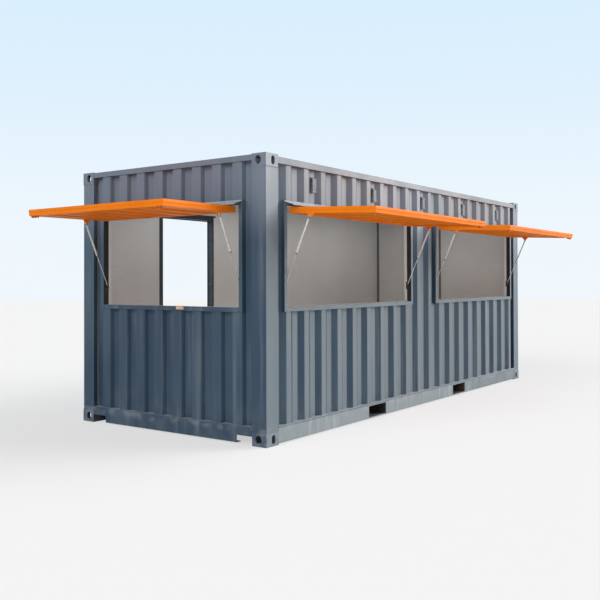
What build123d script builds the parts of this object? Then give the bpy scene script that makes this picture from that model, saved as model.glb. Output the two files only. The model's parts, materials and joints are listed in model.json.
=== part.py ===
"""A twenty-foot shipping container made into a serving cabin.

Frame: X runs along the container towards its cargo doors, the serving side faces -Y and Z is up.
The origin lies on the ground in the middle of the four bottom castings. Lengths are millimetres.
"""

import os
from math import cos, hypot, radians, sin

from build123d import *

# Container envelope
length = 6058
width = 2438
height = 2591

# Corner castings
casting_length = 178
casting_width = 162
casting_height = 118
casting_plate = 22
casting_wall = 16
casting_slot_length = 124
casting_slot_width = 63.5
slot_inset_along = 102.5
slot_inset_across = 89.5
casting_hole_height = 79.5
casting_side_hole_width = 51
casting_end_hole_width = 63.5

# Posts, rails and sills
frame_setback = 3
post_wall = 6
post_lip = 44
rail_rise = 12
rail_top = 165
rail_wall = 5
top_rail_drop = 18
top_rail_size = 60
top_rail_wall = 4
header_drop = 6
front_header_height = 52
front_header_depth = 60
rear_header_height = 112
rear_member_depth = 84
sill_depth = 60
sill_wall = 6
sill_notch_length = 182
sill_notch_height = 68

# Floor
floor_step = 7
floor_board_thickness = 28
underframe_rise = 22
cross_member_flange = 45
cross_member_wall = 4.5
cross_member_pitch = 305
pocket_width = 355
pocket_spacing = 2050
pocket_shift = -80
pocket_wall = 6
pocket_strap_length = 200

# Corrugated sheets
sheet_thickness = 2
wall_setback = 14
side_outer_width = 72
side_slope_width = 68
side_inner_width = 76
side_depth = 36
side_first_inset = 136
end_outer_width = 110
end_slope_width = 18
end_inner_width = 104
end_depth = 45.6
roof_flat_width = 90
roof_slope_width = 14.5
roof_depth = 20

# Linings
side_lining_inset = 52
end_lining_inset = 63
side_lining_thickness = 38
end_lining_thickness = 37
ceiling_gap = 3
ceiling_thickness = 40

# Hatch openings
hatch_pier_width = 314
hatch_mullion_width = 670
hatch_head_drop = 450
hatch_clear_height = 921
hatch_bar = 40
hatch_face_setback = 2

# Hatch flaps
flap_edge_gap = 28
flap_head_gap = 6
flap_sill_gap = 16
flap_thickness = 58
flap_bar = 50
flap_sheet_inset = 8
serving_tilt = 2.5
end_tilt = 0.2

# Hatch hinges
hinge_offset = 8
knuckle_radius = 7
knuckle_length = 40
knuckle_gap = 1
hinge_pin_radius = 4
hinge_plate = 4
hinge_plate_length = 30
hinge_plate_rise = 2
hinge_place_shares = (-0.8, 0, 0.8)
running_fit = 0.05

# Gas struts
strut_inset = 14
strut_depth = 52
strut_drop_share = 0.8035
strut_reach_share = 0.2575
strut_clearance = 31
strut_eye_radius = 10
strut_eye_thickness = 10
strut_pin_radius = 4
tube_radius = 9
tube_share = 0.69
tube_end_wall = 30
rod_radius = 4
rod_share = 0.81
gusset_thickness = 6
gusset_length = 90
gusset_tip_radius = 14
bracket_plate = 4
bracket_depth = 44
bracket_height = 80
stud_radius = 6
stud_gap = 2

# Rain flashings
flashing_sheet = 3
flashing_reach = 100
flashing_drop = 30
flashing_lip = 6
flashing_flange = 10

# Vents and keeper
vent_width = 60
vent_height = 150
vent_depth = 31
vent_sheet = 3
vent_slope_drop = 24
vent_rim = 7
vent_drop = 216
vent_skip_count = 1
vent_recess_count = 4
keeper_width = 96
keeper_height = 29
keeper_thickness = 6
keeper_offset = -178

# Doorway in the back wall
door_clear = 850
door_reach = 1494
door_head_drop = 391
door_bar = 60

# Cargo doors
cargo_door_inset = 55
cargo_door_thickness = 50
cargo_door_bar = 100
cargo_door_gap = 6
cargo_panel_count = 5
cargo_lining_thickness = 6
cargo_hinge_radius = 12
cargo_hinge_height = 70
cargo_hinge_plate = 10
cargo_hinge_shares = (0.08, 0.36, 0.64, 0.92)
lock_rod_radius = 17
lock_rod_stand = 25
lock_rod_shares = (0.25, 0.78)
lock_saddle_reach = 22
lock_bracket_plate = 8
lock_bracket_height = 50
lock_bracket_width = 90
lock_bracket_shares = (0.06, 0.5, 0.94)
lock_handle_height = 40
lock_handle_thickness = 12
lock_handle_reach_share = 0.45
lock_handle_level_share = 0.42

# How far every cut runs past the material
overrun = 20

half_length = length / 2
half_width = width / 2
post_x = half_length - casting_length
post_y = half_width - casting_width
frame_x = half_length - frame_setback
frame_y = half_width - frame_setback
side_wall_y = half_width - wall_setback
end_wall_x = half_length - wall_setback
side_lining_y = half_width - side_lining_inset
rail_flange = frame_y - side_lining_y
end_lining_x = half_length - end_lining_inset
top_rail_top = height - top_rail_drop
top_rail_under = top_rail_top - top_rail_size
header_top = height - header_drop
front_header_under = header_top - front_header_height
rear_header_under = header_top - rear_header_height
floor_top = rail_top + floor_step
floor_under = floor_top - floor_board_thickness
pocket_height = floor_under - pocket_wall - underframe_rise
ceiling_height = height - casting_height - ceiling_gap - ceiling_thickness
side_pitch = side_outer_width + side_inner_width + 2 * side_slope_width
end_pitch = end_outer_width + end_inner_width + 2 * end_slope_width
serving_clear = (length - 2 * hatch_pier_width - hatch_mullion_width) / 2
serving_spacing = serving_clear + hatch_mullion_width
end_clear = width - 2 * hatch_pier_width
hatch_axis_height = height - hatch_head_drop
hatch_head = hatch_axis_height + flap_head_gap
hatch_sill = hatch_axis_height - hatch_clear_height
hatch_base = hatch_sill - hatch_bar
hatch_top = hatch_head + hatch_bar
hatch_face_y = half_width - hatch_face_setback
hatch_face_x = half_length - hatch_face_setback
flap_length = hatch_clear_height - flap_sill_gap
strut_drop = strut_drop_share * hatch_clear_height
strut_reach = strut_reach_share * flap_length
strut_hang = hinge_offset + flap_thickness + strut_clearance
strut_closed_length = hypot(strut_hang - strut_depth, strut_drop - strut_reach)
tube_length = tube_share * strut_closed_length
rod_length = rod_share * strut_closed_length
door_place = door_reach - half_length
door_head = height - door_head_drop
cargo_face_x = half_length - cargo_door_inset
cargo_lining_x = cargo_face_x - cargo_door_thickness - cargo_lining_thickness

os.makedirs("parts", exist_ok=True)


def save(builder, name):
    """Label the finished piece and write it out under its own name."""
    builder.part.label = name
    export_step(builder.part, f"parts/{name}.step")


def block(x_span, y_span, z_span, mode=Mode.ADD):
    """Add or cut a rectangular block between pairs of coordinates."""
    spans = [sorted(span) for span in (x_span, y_span, z_span)]
    with Locations(tuple(sum(span) / 2 for span in spans)):
        Box(*[stop - start for start, stop in spans], mode=mode)


def stadium_hole(plane, hole_length, hole_height, depth):
    """Cut a round-ended slot, centred on the plane and as deep as asked on both sides of it."""
    with BuildSketch(plane, mode=Mode.PRIVATE) as slot:
        SlotOverall(hole_length, hole_height)
    extrude(slot.sketch, amount=depth, both=True, mode=Mode.SUBTRACT)


def corrugation(stop, first, outer, slope, inner, depth):
    """Bends of one sheet from -stop to stop, as places along it and depths behind its outer flats."""
    bends = [(-stop, depth)]
    crest = first - stop
    while crest - slope < stop:
        bends.append((crest - slope, depth))
        bends.append((crest, 0))
        bends.append((crest + outer, 0))
        bends.append((crest + outer + slope, depth))
        crest += outer + inner + 2 * slope
    return bends + [(crest - slope, depth)]


def sheet_section(plane, bends, start, stop, inward=1):
    """Section of a corrugated sheet, kept between two places along it."""
    reach = max(level for _, level in bends) + sheet_thickness
    face = [(place, inward * level) for place, level in bends]
    back = [(place, inward * (level + sheet_thickness)) for place, level in reversed(bends)]
    with BuildSketch(plane, mode=Mode.PRIVATE) as section:
        with BuildLine():
            Polyline(*face, *back, close=True)
        make_face()
        with Locations(((start + stop) / 2, inward * reach / 2)):
            Rectangle(stop - start, reach, mode=Mode.INTERSECT)
    return section.sketch


# Corner castings with their slots
for level, name in ((0, "bottom_castings"), (height - casting_height, "top_castings")):
    with BuildPart() as castings:
        for x_side in (-1, 1):
            for y_side in (-1, 1):
                block((x_side * post_x, x_side * half_length), (y_side * post_y, y_side * half_width),
                      (level, level + casting_height))
                block((x_side * (post_x + casting_wall), x_side * (half_length - casting_wall)),
                      (y_side * (post_y + casting_wall), y_side * (half_width - casting_wall)),
                      (level + casting_plate, level + casting_height - casting_plate), Mode.SUBTRACT)
                centre_x = x_side * (half_length - slot_inset_along)
                centre_y = y_side * (half_width - slot_inset_across)
                centre_z = level + casting_height / 2
                plate_z = height if level else 0
                stadium_hole(Plane((centre_x, centre_y, plate_z), (1, 0, 0), (0, 0, 1)),
                             casting_slot_length, casting_slot_width, casting_plate)
                stadium_hole(Plane((centre_x, y_side * half_width, centre_z), (0, 0, 1), (0, 1, 0)),
                             casting_hole_height, casting_side_hole_width, casting_wall)
                stadium_hole(Plane((x_side * half_length, centre_y, centre_z), (0, 0, 1), (1, 0, 0)),
                             casting_hole_height, casting_end_hole_width, casting_wall)
    save(castings, name)

# Corner posts, pressed angles with a lip along each edge
with BuildPart() as corner_posts:
    for x_side in (-1, 1):
        for y_side in (-1, 1):
            block((x_side * post_x, x_side * frame_x), (y_side * post_y, y_side * frame_y),
                  (casting_height, height - casting_height))
            block((x_side * (post_x + post_wall), x_side * (frame_x - post_wall)),
                  (y_side * (post_y + post_wall), y_side * (frame_y - post_wall)),
                  (casting_height, height - casting_height), Mode.SUBTRACT)
            block((x_side * (post_x - overrun), x_side * (frame_x - post_lip)),
                  (y_side * (post_y - overrun), y_side * (frame_y - post_lip)),
                  (casting_height, height - casting_height), Mode.SUBTRACT)
save(corner_posts, "corner_posts")

# Top rails along both long sides
with BuildPart() as top_side_rails:
    for y_side in (-1, 1):
        block((-post_x, post_x), (y_side * (frame_y - top_rail_size), y_side * frame_y),
              (top_rail_under, top_rail_top))
        block((-post_x, post_x), (y_side * (frame_y - top_rail_size + top_rail_wall),
                                  y_side * (frame_y - top_rail_wall)),
              (top_rail_under + top_rail_wall, top_rail_top - top_rail_wall), Mode.SUBTRACT)
save(top_side_rails, "top_side_rails")

# Headers over the hatch end and over the cargo doors
with BuildPart() as end_headers:
    for x_start, depth, under in ((-frame_x, front_header_depth, front_header_under),
                                  (frame_x - rear_member_depth, rear_member_depth, rear_header_under)):
        block((x_start, x_start + depth), (-post_y, post_y), (under, header_top))
        block((x_start + top_rail_wall, x_start + depth - top_rail_wall), (-post_y, post_y),
              (under + top_rail_wall, header_top - top_rail_wall), Mode.SUBTRACT)
save(end_headers, "end_headers")

# Sills under the two ends, channels open to the inside, the front one notched beside its castings
with BuildPart() as end_sills:
    block((-frame_x, -frame_x + sill_depth), (-post_y, post_y), (rail_rise, rail_top))
    block((-frame_x + sill_wall, -frame_x + sill_depth), (-post_y, post_y),
          (rail_rise + sill_wall, rail_top - sill_wall), Mode.SUBTRACT)
    for y_side in (-1, 1):
        block((-frame_x, -frame_x + sill_depth), (y_side * (post_y - sill_notch_length), y_side * post_y),
              (rail_rise, rail_rise + sill_notch_height), Mode.SUBTRACT)
    block((frame_x - rear_member_depth, frame_x), (-post_y, post_y), (rail_rise, rail_top))
    block((frame_x - rear_member_depth, frame_x - sill_wall), (-post_y, post_y),
          (rail_rise + sill_wall, rail_top - sill_wall), Mode.SUBTRACT)
save(end_sills, "end_sills")

# Bottom rails along the long sides, channels open to the inside, pierced by the fork pockets
pocket_places = [pocket_shift + side * pocket_spacing / 2 for side in (-1, 1)]
with BuildPart() as bottom_side_rails:
    for y_side in (-1, 1):
        block((-post_x, post_x), (y_side * (frame_y - rail_flange), y_side * frame_y), (rail_rise, rail_top))
        block((-post_x, post_x), (y_side * (frame_y - rail_flange), y_side * (frame_y - rail_wall)),
              (rail_rise + rail_wall, rail_top - rail_wall), Mode.SUBTRACT)
        for place in pocket_places:
            block((place - pocket_width / 2, place + pocket_width / 2),
                  (y_side * (frame_y - rail_wall), y_side * (frame_y + overrun)),
                  (underframe_rise, underframe_rise + pocket_height), Mode.SUBTRACT)
save(bottom_side_rails, "bottom_side_rails")

# Fork pockets: a roof plate, two cheeks and a strap under each mouth
pocket_end_y = frame_y - rail_wall
with BuildPart() as fork_pockets:
    for place in pocket_places:
        inner = (place - pocket_width / 2, place + pocket_width / 2)
        outer = (inner[0] - pocket_wall, inner[1] + pocket_wall)
        block(outer, (-pocket_end_y, pocket_end_y), (underframe_rise, floor_under))
        block(inner, (-pocket_end_y, pocket_end_y), (underframe_rise, underframe_rise + pocket_height),
              Mode.SUBTRACT)
        for y_side in (-1, 1):
            block(outer, (y_side * (pocket_end_y - pocket_strap_length), y_side * pocket_end_y),
                  (rail_rise + rail_wall, underframe_rise))
save(fork_pockets, "fork_pockets")

# Channel cross members under the floor, left out where a fork pocket passes
cross_end_y = frame_y - rail_wall
cross_gap_count = int(2 * (post_x - cross_member_flange) // cross_member_pitch)
cross_places = [(index - cross_gap_count / 2) * cross_member_pitch for index in range(cross_gap_count + 1)]
pocket_keepout = pocket_width / 2 + pocket_wall + cross_member_flange
with BuildPart() as cross_members:
    for place in cross_places:
        if min(abs(place - pocket) for pocket in pocket_places) < pocket_keepout:
            continue
        flange = (place - cross_member_flange / 2, place + cross_member_flange / 2)
        block(flange, (-cross_end_y, cross_end_y), (underframe_rise, floor_under))
        block((flange[0] + cross_member_wall, flange[1]), (-cross_end_y, cross_end_y),
              (underframe_rise + cross_member_wall, floor_under - cross_member_wall), Mode.SUBTRACT)
save(cross_members, "cross_members")

# Floor boards between the rails and sills
with BuildPart() as floor_deck:
    block((-frame_x + sill_depth, frame_x - rear_member_depth),
          (-side_lining_y, side_lining_y), (floor_under, floor_top))
save(floor_deck, "floor_deck")

# Roof sheet with ribs across the container
roof_start = -frame_x + front_header_depth
roof_stop = frame_x - rear_member_depth
roof_bends = corrugation(half_length, roof_flat_width, roof_flat_width, roof_slope_width, roof_flat_width,
                         roof_depth)
roof_plane = Plane((0, frame_y - top_rail_size, top_rail_top), (1, 0, 0), (0, -1, 0))
with BuildPart() as roof_sheet:
    extrude(sheet_section(roof_plane, roof_bends, roof_start, roof_stop, -1),
            amount=2 * (frame_y - top_rail_size))
    for x_side in (-1, 1):
        for y_side in (-1, 1):
            block((x_side * post_x, x_side * half_length), (y_side * post_y, y_side * half_width),
                  (height - casting_height, height), Mode.SUBTRACT)
save(roof_sheet, "roof_sheet")

# Corrugated serving wall, parted by the two hatch frames
side_bends = corrugation(post_x, side_first_inset, side_outer_width, side_slope_width, side_inner_width,
                         side_depth)
serving_plane = Plane((0, -side_wall_y, 0), (1, 0, 0), (0, 0, 1))
serving_places = [side * serving_spacing / 2 for side in (-1, 1)]
serving_outer = serving_clear / 2 + hatch_bar
with BuildPart() as serving_wall_base:
    extrude(sheet_section(serving_plane.offset(rail_top), side_bends, -post_x, post_x),
            amount=hatch_base - rail_top)
save(serving_wall_base, "serving_wall_base")

with BuildPart() as serving_wall_top:
    extrude(sheet_section(serving_plane.offset(hatch_top), side_bends, -post_x, post_x),
            amount=top_rail_under - hatch_top)
save(serving_wall_top, "serving_wall_top")

hatch_edges = [place + side * serving_outer for place in serving_places for side in (-1, 1)]
pier_ends = [-post_x, *hatch_edges, post_x]
with BuildPart() as serving_wall_piers:
    for start, stop in zip(pier_ends[::2], pier_ends[1::2]):
        extrude(sheet_section(serving_plane.offset(hatch_base), side_bends, start, stop),
                amount=hatch_top - hatch_base)
save(serving_wall_piers, "serving_wall_piers")

# Corrugated hatch end, parted by its hatch frame
end_crest_count = 2 * post_y // end_pitch
end_crest_run = end_crest_count * end_pitch - end_inner_width - 2 * end_slope_width
end_first_inset = post_y - end_crest_run / 2
end_bends = corrugation(post_y, end_first_inset, end_outer_width, end_slope_width, end_inner_width,
                        end_depth)
end_plane = Plane((-end_wall_x, 0, 0), (0, -1, 0), (0, 0, 1))
end_outer = end_clear / 2 + hatch_bar
with BuildPart() as end_wall_base:
    extrude(sheet_section(end_plane.offset(rail_top), end_bends, -post_y, post_y),
            amount=hatch_base - rail_top)
save(end_wall_base, "end_wall_base")

with BuildPart() as end_wall_top:
    extrude(sheet_section(end_plane.offset(hatch_top), end_bends, -post_y, post_y),
            amount=front_header_under - hatch_top)
save(end_wall_top, "end_wall_top")

with BuildPart() as end_wall_piers:
    for start, stop in ((-post_y, -end_outer), (end_outer, post_y)):
        extrude(sheet_section(end_plane.offset(hatch_base), end_bends, start, stop),
                amount=hatch_top - hatch_base)
save(end_wall_piers, "end_wall_piers")

# Corrugated back wall, parted by the doorway
back_plane = Plane((0, side_wall_y, 0), (1, 0, 0), (0, 0, 1))
door_start = door_place - door_clear / 2 - door_bar
door_stop = door_place + door_clear / 2 + door_bar
door_top = door_head + door_bar
with BuildPart() as back_wall_panels:
    for start, stop in ((-post_x, door_start), (door_stop, post_x)):
        extrude(sheet_section(back_plane.offset(rail_top), side_bends, start, stop, -1),
                amount=top_rail_under - rail_top)
save(back_wall_panels, "back_wall_panels")

with BuildPart() as back_wall_over_door:
    extrude(sheet_section(back_plane.offset(door_top), side_bends, door_start, door_stop, -1),
            amount=top_rail_under - door_top)
save(back_wall_over_door, "back_wall_over_door")

# Steel frame of the doorway, as deep as the wall with its lining
door_inner_y = side_lining_y - side_lining_thickness
with BuildPart() as door_frame:
    block((door_start, door_stop), (door_inner_y, hatch_face_y), (floor_top, door_top))
    block((door_start + door_bar, door_stop - door_bar), (door_inner_y, hatch_face_y),
          (floor_top, door_head), Mode.SUBTRACT)
    block((door_start, door_stop), (frame_y - rail_flange, hatch_face_y - frame_setback),
          (rail_top, floor_top))
save(door_frame, "door_frame")


def shifted(bends, origin):
    """The same bends, with their places measured from another origin."""
    return [(place - origin, level) for place, level in bends]


# Hatches: hinge line, clear width, droop of the flap, depths of frame and lining, bends of the infill
hatches = {"end_hatch": (Plane((-hatch_face_x - hinge_offset, 0, hatch_axis_height), (0, 1, 0), (0, 0, 1)),
                         end_clear, end_tilt, hatch_face_x - end_lining_x, end_lining_thickness, end_bends)}
for name, place in zip(("serving_hatch_near", "serving_hatch_far"), serving_places):
    hatches[name] = (Plane((place, -hatch_face_y - hinge_offset, hatch_axis_height), (-1, 0, 0), (0, 0, 1)),
                     serving_clear, serving_tilt, hatch_face_y - side_lining_y, side_lining_thickness,
                     shifted(side_bends, place))


def drooped(axis, tilt):
    """The hinge line's plane, turned down by the flap's droop."""
    lean = axis.z_dir * cos(radians(tilt)) + axis.y_dir * sin(radians(tilt))
    return Plane(axis.origin, axis.x_dir, lean)


def section_plane(axis, place):
    """Plane across the hinge line: its x runs outwards, its y up, its normal along the hinge line."""
    return Plane(axis.from_local_coords((place, 0, 0)), axis.y_dir, axis.x_dir)


def local_block(axis, x_span, y_span, z_span, mode=Mode.ADD):
    """Add or cut a block between pairs of coordinates measured from the hinge line."""
    spans = [sorted(span) for span in (x_span, y_span, z_span)]
    centre = axis.from_local_coords(tuple(sum(span) / 2 for span in spans))
    with Locations(Plane(centre, axis.x_dir, axis.z_dir)):
        Box(*[stop - start for start, stop in spans], mode=mode)


def local_cylinder(axis, x_span, y, z, radius, mode=Mode.ADD):
    """Add or cut a round bar that lies along the hinge line."""
    with BuildSketch(section_plane(axis, x_span[0]), mode=Mode.PRIVATE) as disc:
        with Locations((y, z)):
            Circle(radius)
    extrude(disc.sketch, amount=x_span[1] - x_span[0], mode=mode)


def strut_line(tilt):
    """Pivots of an open flap's strut, each as a distance outwards and a distance upwards."""
    droop = radians(tilt)
    outwards = strut_reach * cos(droop) - strut_hang * sin(droop)
    downwards = strut_reach * sin(droop) + strut_hang * cos(droop)
    return (outwards, -downwards), (-strut_depth, -strut_drop)


for hatch, (axis, clear, tilt, frame_depth, lining_depth, bends) in hatches.items():
    flap_axis = drooped(axis, tilt)
    half_clear = clear / 2
    half_flap = half_clear - flap_edge_gap
    hinge_places = [share * half_flap for share in hinge_place_shares]
    strut_places = [side * (half_clear - strut_inset) for side in (-1, 1)]
    sill_z = -hatch_clear_height

    # Bar frame around the opening with the fixed hinge knuckles and their pins
    with BuildPart() as hatch_frame:
        frame_span = (-hinge_offset - frame_depth, -hinge_offset)
        local_block(axis, (-half_clear - hatch_bar, half_clear + hatch_bar), frame_span,
                    (sill_z - hatch_bar, flap_head_gap + hatch_bar))
        local_block(axis, (-half_clear, half_clear), frame_span, (sill_z, flap_head_gap), Mode.SUBTRACT)
        for place in hinge_places:
            start = place + knuckle_length / 2 + knuckle_gap
            span = (start, start + knuckle_length)
            local_cylinder(axis, span, 0, 0, knuckle_radius)
            local_block(axis, span, (-hinge_offset, -hinge_offset + hinge_plate),
                        (hinge_plate_rise, hinge_plate_length))
            pin_span = (place - knuckle_length / 2, place + knuckle_length)
            local_cylinder(axis, pin_span, 0, 0, hinge_pin_radius)
    save(hatch_frame, f"{hatch}_frame")

    # Flap frame with its hinge straps and the gussets that carry the struts
    with BuildPart() as flap_frame:
        outer_face = -hinge_offset
        inner_face = -hinge_offset - flap_thickness
        local_block(flap_axis, (-half_flap, half_flap), (0, flap_length), (inner_face, outer_face))
        local_block(flap_axis, (-half_flap + flap_bar, half_flap - flap_bar),
                    (flap_bar, flap_length - flap_bar), (inner_face, outer_face), Mode.SUBTRACT)
        for place in hinge_places:
            span = (place - knuckle_length / 2, place + knuckle_length / 2)
            local_cylinder(flap_axis, span, 0, 0, knuckle_radius)
            local_block(flap_axis, span, (0, hinge_plate_length), (outer_face, outer_face + hinge_plate))
            local_cylinder(flap_axis, span, 0, 0, hinge_pin_radius + running_fit, Mode.SUBTRACT)
        for side in (-1, 1):
            pin_stop = side * (half_clear - strut_inset + strut_eye_thickness / 2)
            plate_start = side * (half_flap - gusset_thickness)
            near, far = sorted((plate_start, side * half_flap))
            with BuildSketch(section_plane(flap_axis, near), mode=Mode.PRIVATE) as gusset:
                with Locations((strut_reach, -strut_hang)):
                    Circle(gusset_tip_radius)
                with BuildLine():
                    Polyline((strut_reach - gusset_length / 2, inner_face),
                             (strut_reach + gusset_length / 2, inner_face),
                             (strut_reach + gusset_tip_radius, -strut_hang),
                             (strut_reach - gusset_tip_radius, -strut_hang), close=True)
                make_face()
            extrude(gusset.sketch, amount=far - near)
            local_cylinder(flap_axis, sorted((plate_start, pin_stop)), strut_reach, -strut_hang,
                           strut_pin_radius)
    save(flap_frame, f"{hatch}_flap_frame")

    # Corrugated infill cut from the wall that the opening left
    infill_plane = Plane(flap_axis.from_local_coords((0, flap_bar, -hinge_offset - flap_sheet_inset)),
                         -flap_axis.x_dir, flap_axis.y_dir)
    with BuildPart() as flap_infill:
        extrude(sheet_section(infill_plane, bends, -half_flap + flap_bar, half_flap - flap_bar, -1),
                amount=flap_length - 2 * flap_bar)
    save(flap_infill, f"{hatch}_flap_infill")

    # Gas struts, drawn out as they hold the flap open
    top, foot = strut_line(tilt)
    lean = axis.y_dir * (foot[0] - top[0]) + axis.z_dir * (foot[1] - top[1])
    with BuildPart() as strut_tubes:
        for place in strut_places:
            eye_span = (place - strut_eye_thickness / 2, place + strut_eye_thickness / 2)
            down = Plane(axis.from_local_coords((place, *top)), axis.x_dir, lean)
            with BuildSketch(down.offset(2 * strut_pin_radius), mode=Mode.PRIVATE) as barrel:
                Circle(tube_radius)
            extrude(barrel.sketch, amount=tube_length - 2 * strut_pin_radius)
            local_cylinder(axis, eye_span, *top, strut_eye_radius)
            local_cylinder(axis, eye_span, *top, strut_pin_radius + running_fit, Mode.SUBTRACT)
            with BuildSketch(down.offset(tube_end_wall), mode=Mode.PRIVATE) as bore:
                Circle(rod_radius + running_fit)
            extrude(bore.sketch, amount=tube_length - tube_end_wall, mode=Mode.SUBTRACT)
    save(strut_tubes, f"{hatch}_strut_tubes")

    with BuildPart() as strut_rods:
        for place in strut_places:
            eye_span = (place - strut_eye_thickness / 2, place + strut_eye_thickness / 2)
            rise = Plane(axis.from_local_coords((place, *foot)), axis.x_dir, -lean)
            local_cylinder(axis, eye_span, *foot, strut_eye_radius)
            with BuildSketch(rise.offset(strut_eye_radius / 2), mode=Mode.PRIVATE) as bar:
                Circle(rod_radius)
            extrude(bar.sketch, amount=rod_length - strut_eye_radius / 2)
    save(strut_rods, f"{hatch}_strut_rods")

# Strut brackets on the jambs, each a plate with a stud that stops short of the rod's end fitting
with BuildPart() as strut_brackets:
    for axis, clear, tilt, frame_depth, lining_depth, bends in hatches.values():
        for side in (-1, 1):
            face = side * clear / 2
            stud_stop = side * (clear / 2 - strut_inset + strut_eye_thickness / 2 + stud_gap)
            local_block(axis, (face, face - side * bracket_plate),
                        (-strut_depth - bracket_depth / 2, -strut_depth + bracket_depth / 2),
                        (-strut_drop - bracket_height / 2, -strut_drop + bracket_height / 2))
            local_cylinder(axis, sorted((face - side * bracket_plate / 2, stud_stop)),
                           -strut_depth, -strut_drop, stud_radius)
save(strut_brackets, "strut_brackets")

# Rain flashings on the head bars
with BuildPart() as rain_flashings:
    for axis, clear, tilt, frame_depth, lining_depth, bends in hatches.values():
        half_run = clear / 2 + hatch_bar
        flashing_rise = flap_head_gap + hatch_bar - flashing_flange
        with BuildSketch(section_plane(axis, -half_run), mode=Mode.PRIVATE) as profile:
            with BuildLine():
                crease = (-hinge_offset, flashing_rise)
                edge = (-hinge_offset + flashing_reach, flashing_rise - flashing_drop)
                Polyline((crease[0], crease[1] + flashing_flange), crease, edge,
                         (edge[0], edge[1] - flashing_lip),
                         (edge[0] + flashing_sheet, edge[1] - flashing_lip),
                         (edge[0] + flashing_sheet, edge[1] + flashing_sheet),
                         (crease[0] + flashing_sheet, crease[1] + flashing_sheet),
                         (crease[0] + flashing_sheet, crease[1] + flashing_flange), close=True)
            make_face()
        extrude(profile.sketch, amount=2 * half_run)
save(rain_flashings, "rain_flashings")

# Hooded vents in the recesses under the top rails, open below and slotted in their cheeks
vent_first = side_first_inset + side_outer_width + side_slope_width + side_inner_width / 2
vent_first_reach = vent_first + vent_skip_count * side_pitch
vent_pitch = vent_recess_count * side_pitch
vent_gap_count = int((2 * post_x - vent_first_reach) // vent_pitch)
vent_back_y = side_wall_y - side_depth
vent_base = height - vent_drop - vent_height / 2
vent_eaves = vent_height - vent_slope_drop
with BuildPart() as vents:
    for y_side in (-1, 1):
        for index in range(vent_gap_count + 1):
            place = vent_first_reach + index * vent_pitch - post_x
            section = Plane((place, y_side * vent_back_y, vent_base), (0, y_side, 0), (y_side, 0, 0))
            with BuildSketch(section, mode=Mode.PRIVATE) as hood:
                with BuildLine():
                    Polyline((0, 0), (vent_depth, 0), (vent_depth, vent_eaves), (0, vent_height), close=True)
                make_face()
            extrude(hood.sketch, amount=vent_width / 2, both=True)
            with BuildSketch(section, mode=Mode.PRIVATE) as hollow:
                with BuildLine():
                    Polyline((vent_sheet, 0), (vent_depth - vent_sheet, 0),
                             (vent_depth - vent_sheet, vent_eaves - vent_sheet),
                             (vent_sheet, vent_height - 2 * vent_sheet), close=True)
                make_face()
            extrude(hollow.sketch, amount=vent_width / 2 - vent_sheet, both=True, mode=Mode.SUBTRACT)
            block((place - vent_width / 2, place + vent_width / 2),
                  (y_side * (vent_back_y + vent_rim), y_side * (vent_back_y + vent_depth - vent_rim)),
                  (vent_base + vent_rim, vent_base + vent_eaves - vent_rim), Mode.SUBTRACT)
save(vents, "vents")

# Keeper on the sill bar of the end hatch
with BuildPart() as sill_keeper:
    block((-hatch_face_x - keeper_thickness, -hatch_face_x),
          (keeper_offset - keeper_width / 2, keeper_offset + keeper_width / 2),
          (hatch_sill - keeper_height, hatch_sill))
save(sill_keeper, "sill_keeper")

# Linings on the walls and under the roof
lining_start = -end_lining_x + end_lining_thickness
side_lining_span = (side_lining_y - side_lining_thickness, side_lining_y)
serving_lining_span = (-side_lining_y, -side_lining_y + side_lining_thickness)
with BuildPart() as serving_lining:
    block((lining_start, cargo_lining_x), serving_lining_span, (floor_top, ceiling_height))
    for place in serving_places:
        block((place - serving_clear / 2, place + serving_clear / 2), serving_lining_span,
              (hatch_sill, hatch_head), Mode.SUBTRACT)
save(serving_lining, "serving_lining")

with BuildPart() as back_lining:
    block((lining_start, cargo_lining_x), side_lining_span, (floor_top, ceiling_height))
    block((door_start, door_stop), side_lining_span, (floor_top, door_top), Mode.SUBTRACT)
save(back_lining, "back_lining")

with BuildPart() as end_lining:
    block((-end_lining_x, lining_start), (-side_lining_y, side_lining_y), (floor_top, ceiling_height))
    block((-end_lining_x, lining_start), (-end_clear / 2, end_clear / 2), (hatch_sill, hatch_head),
          Mode.SUBTRACT)
save(end_lining, "end_lining")

with BuildPart() as ceiling_lining:
    block((-end_lining_x, cargo_lining_x), (-side_lining_y, side_lining_y),
          (ceiling_height, ceiling_height + ceiling_thickness))
save(ceiling_lining, "ceiling_lining")

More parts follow.
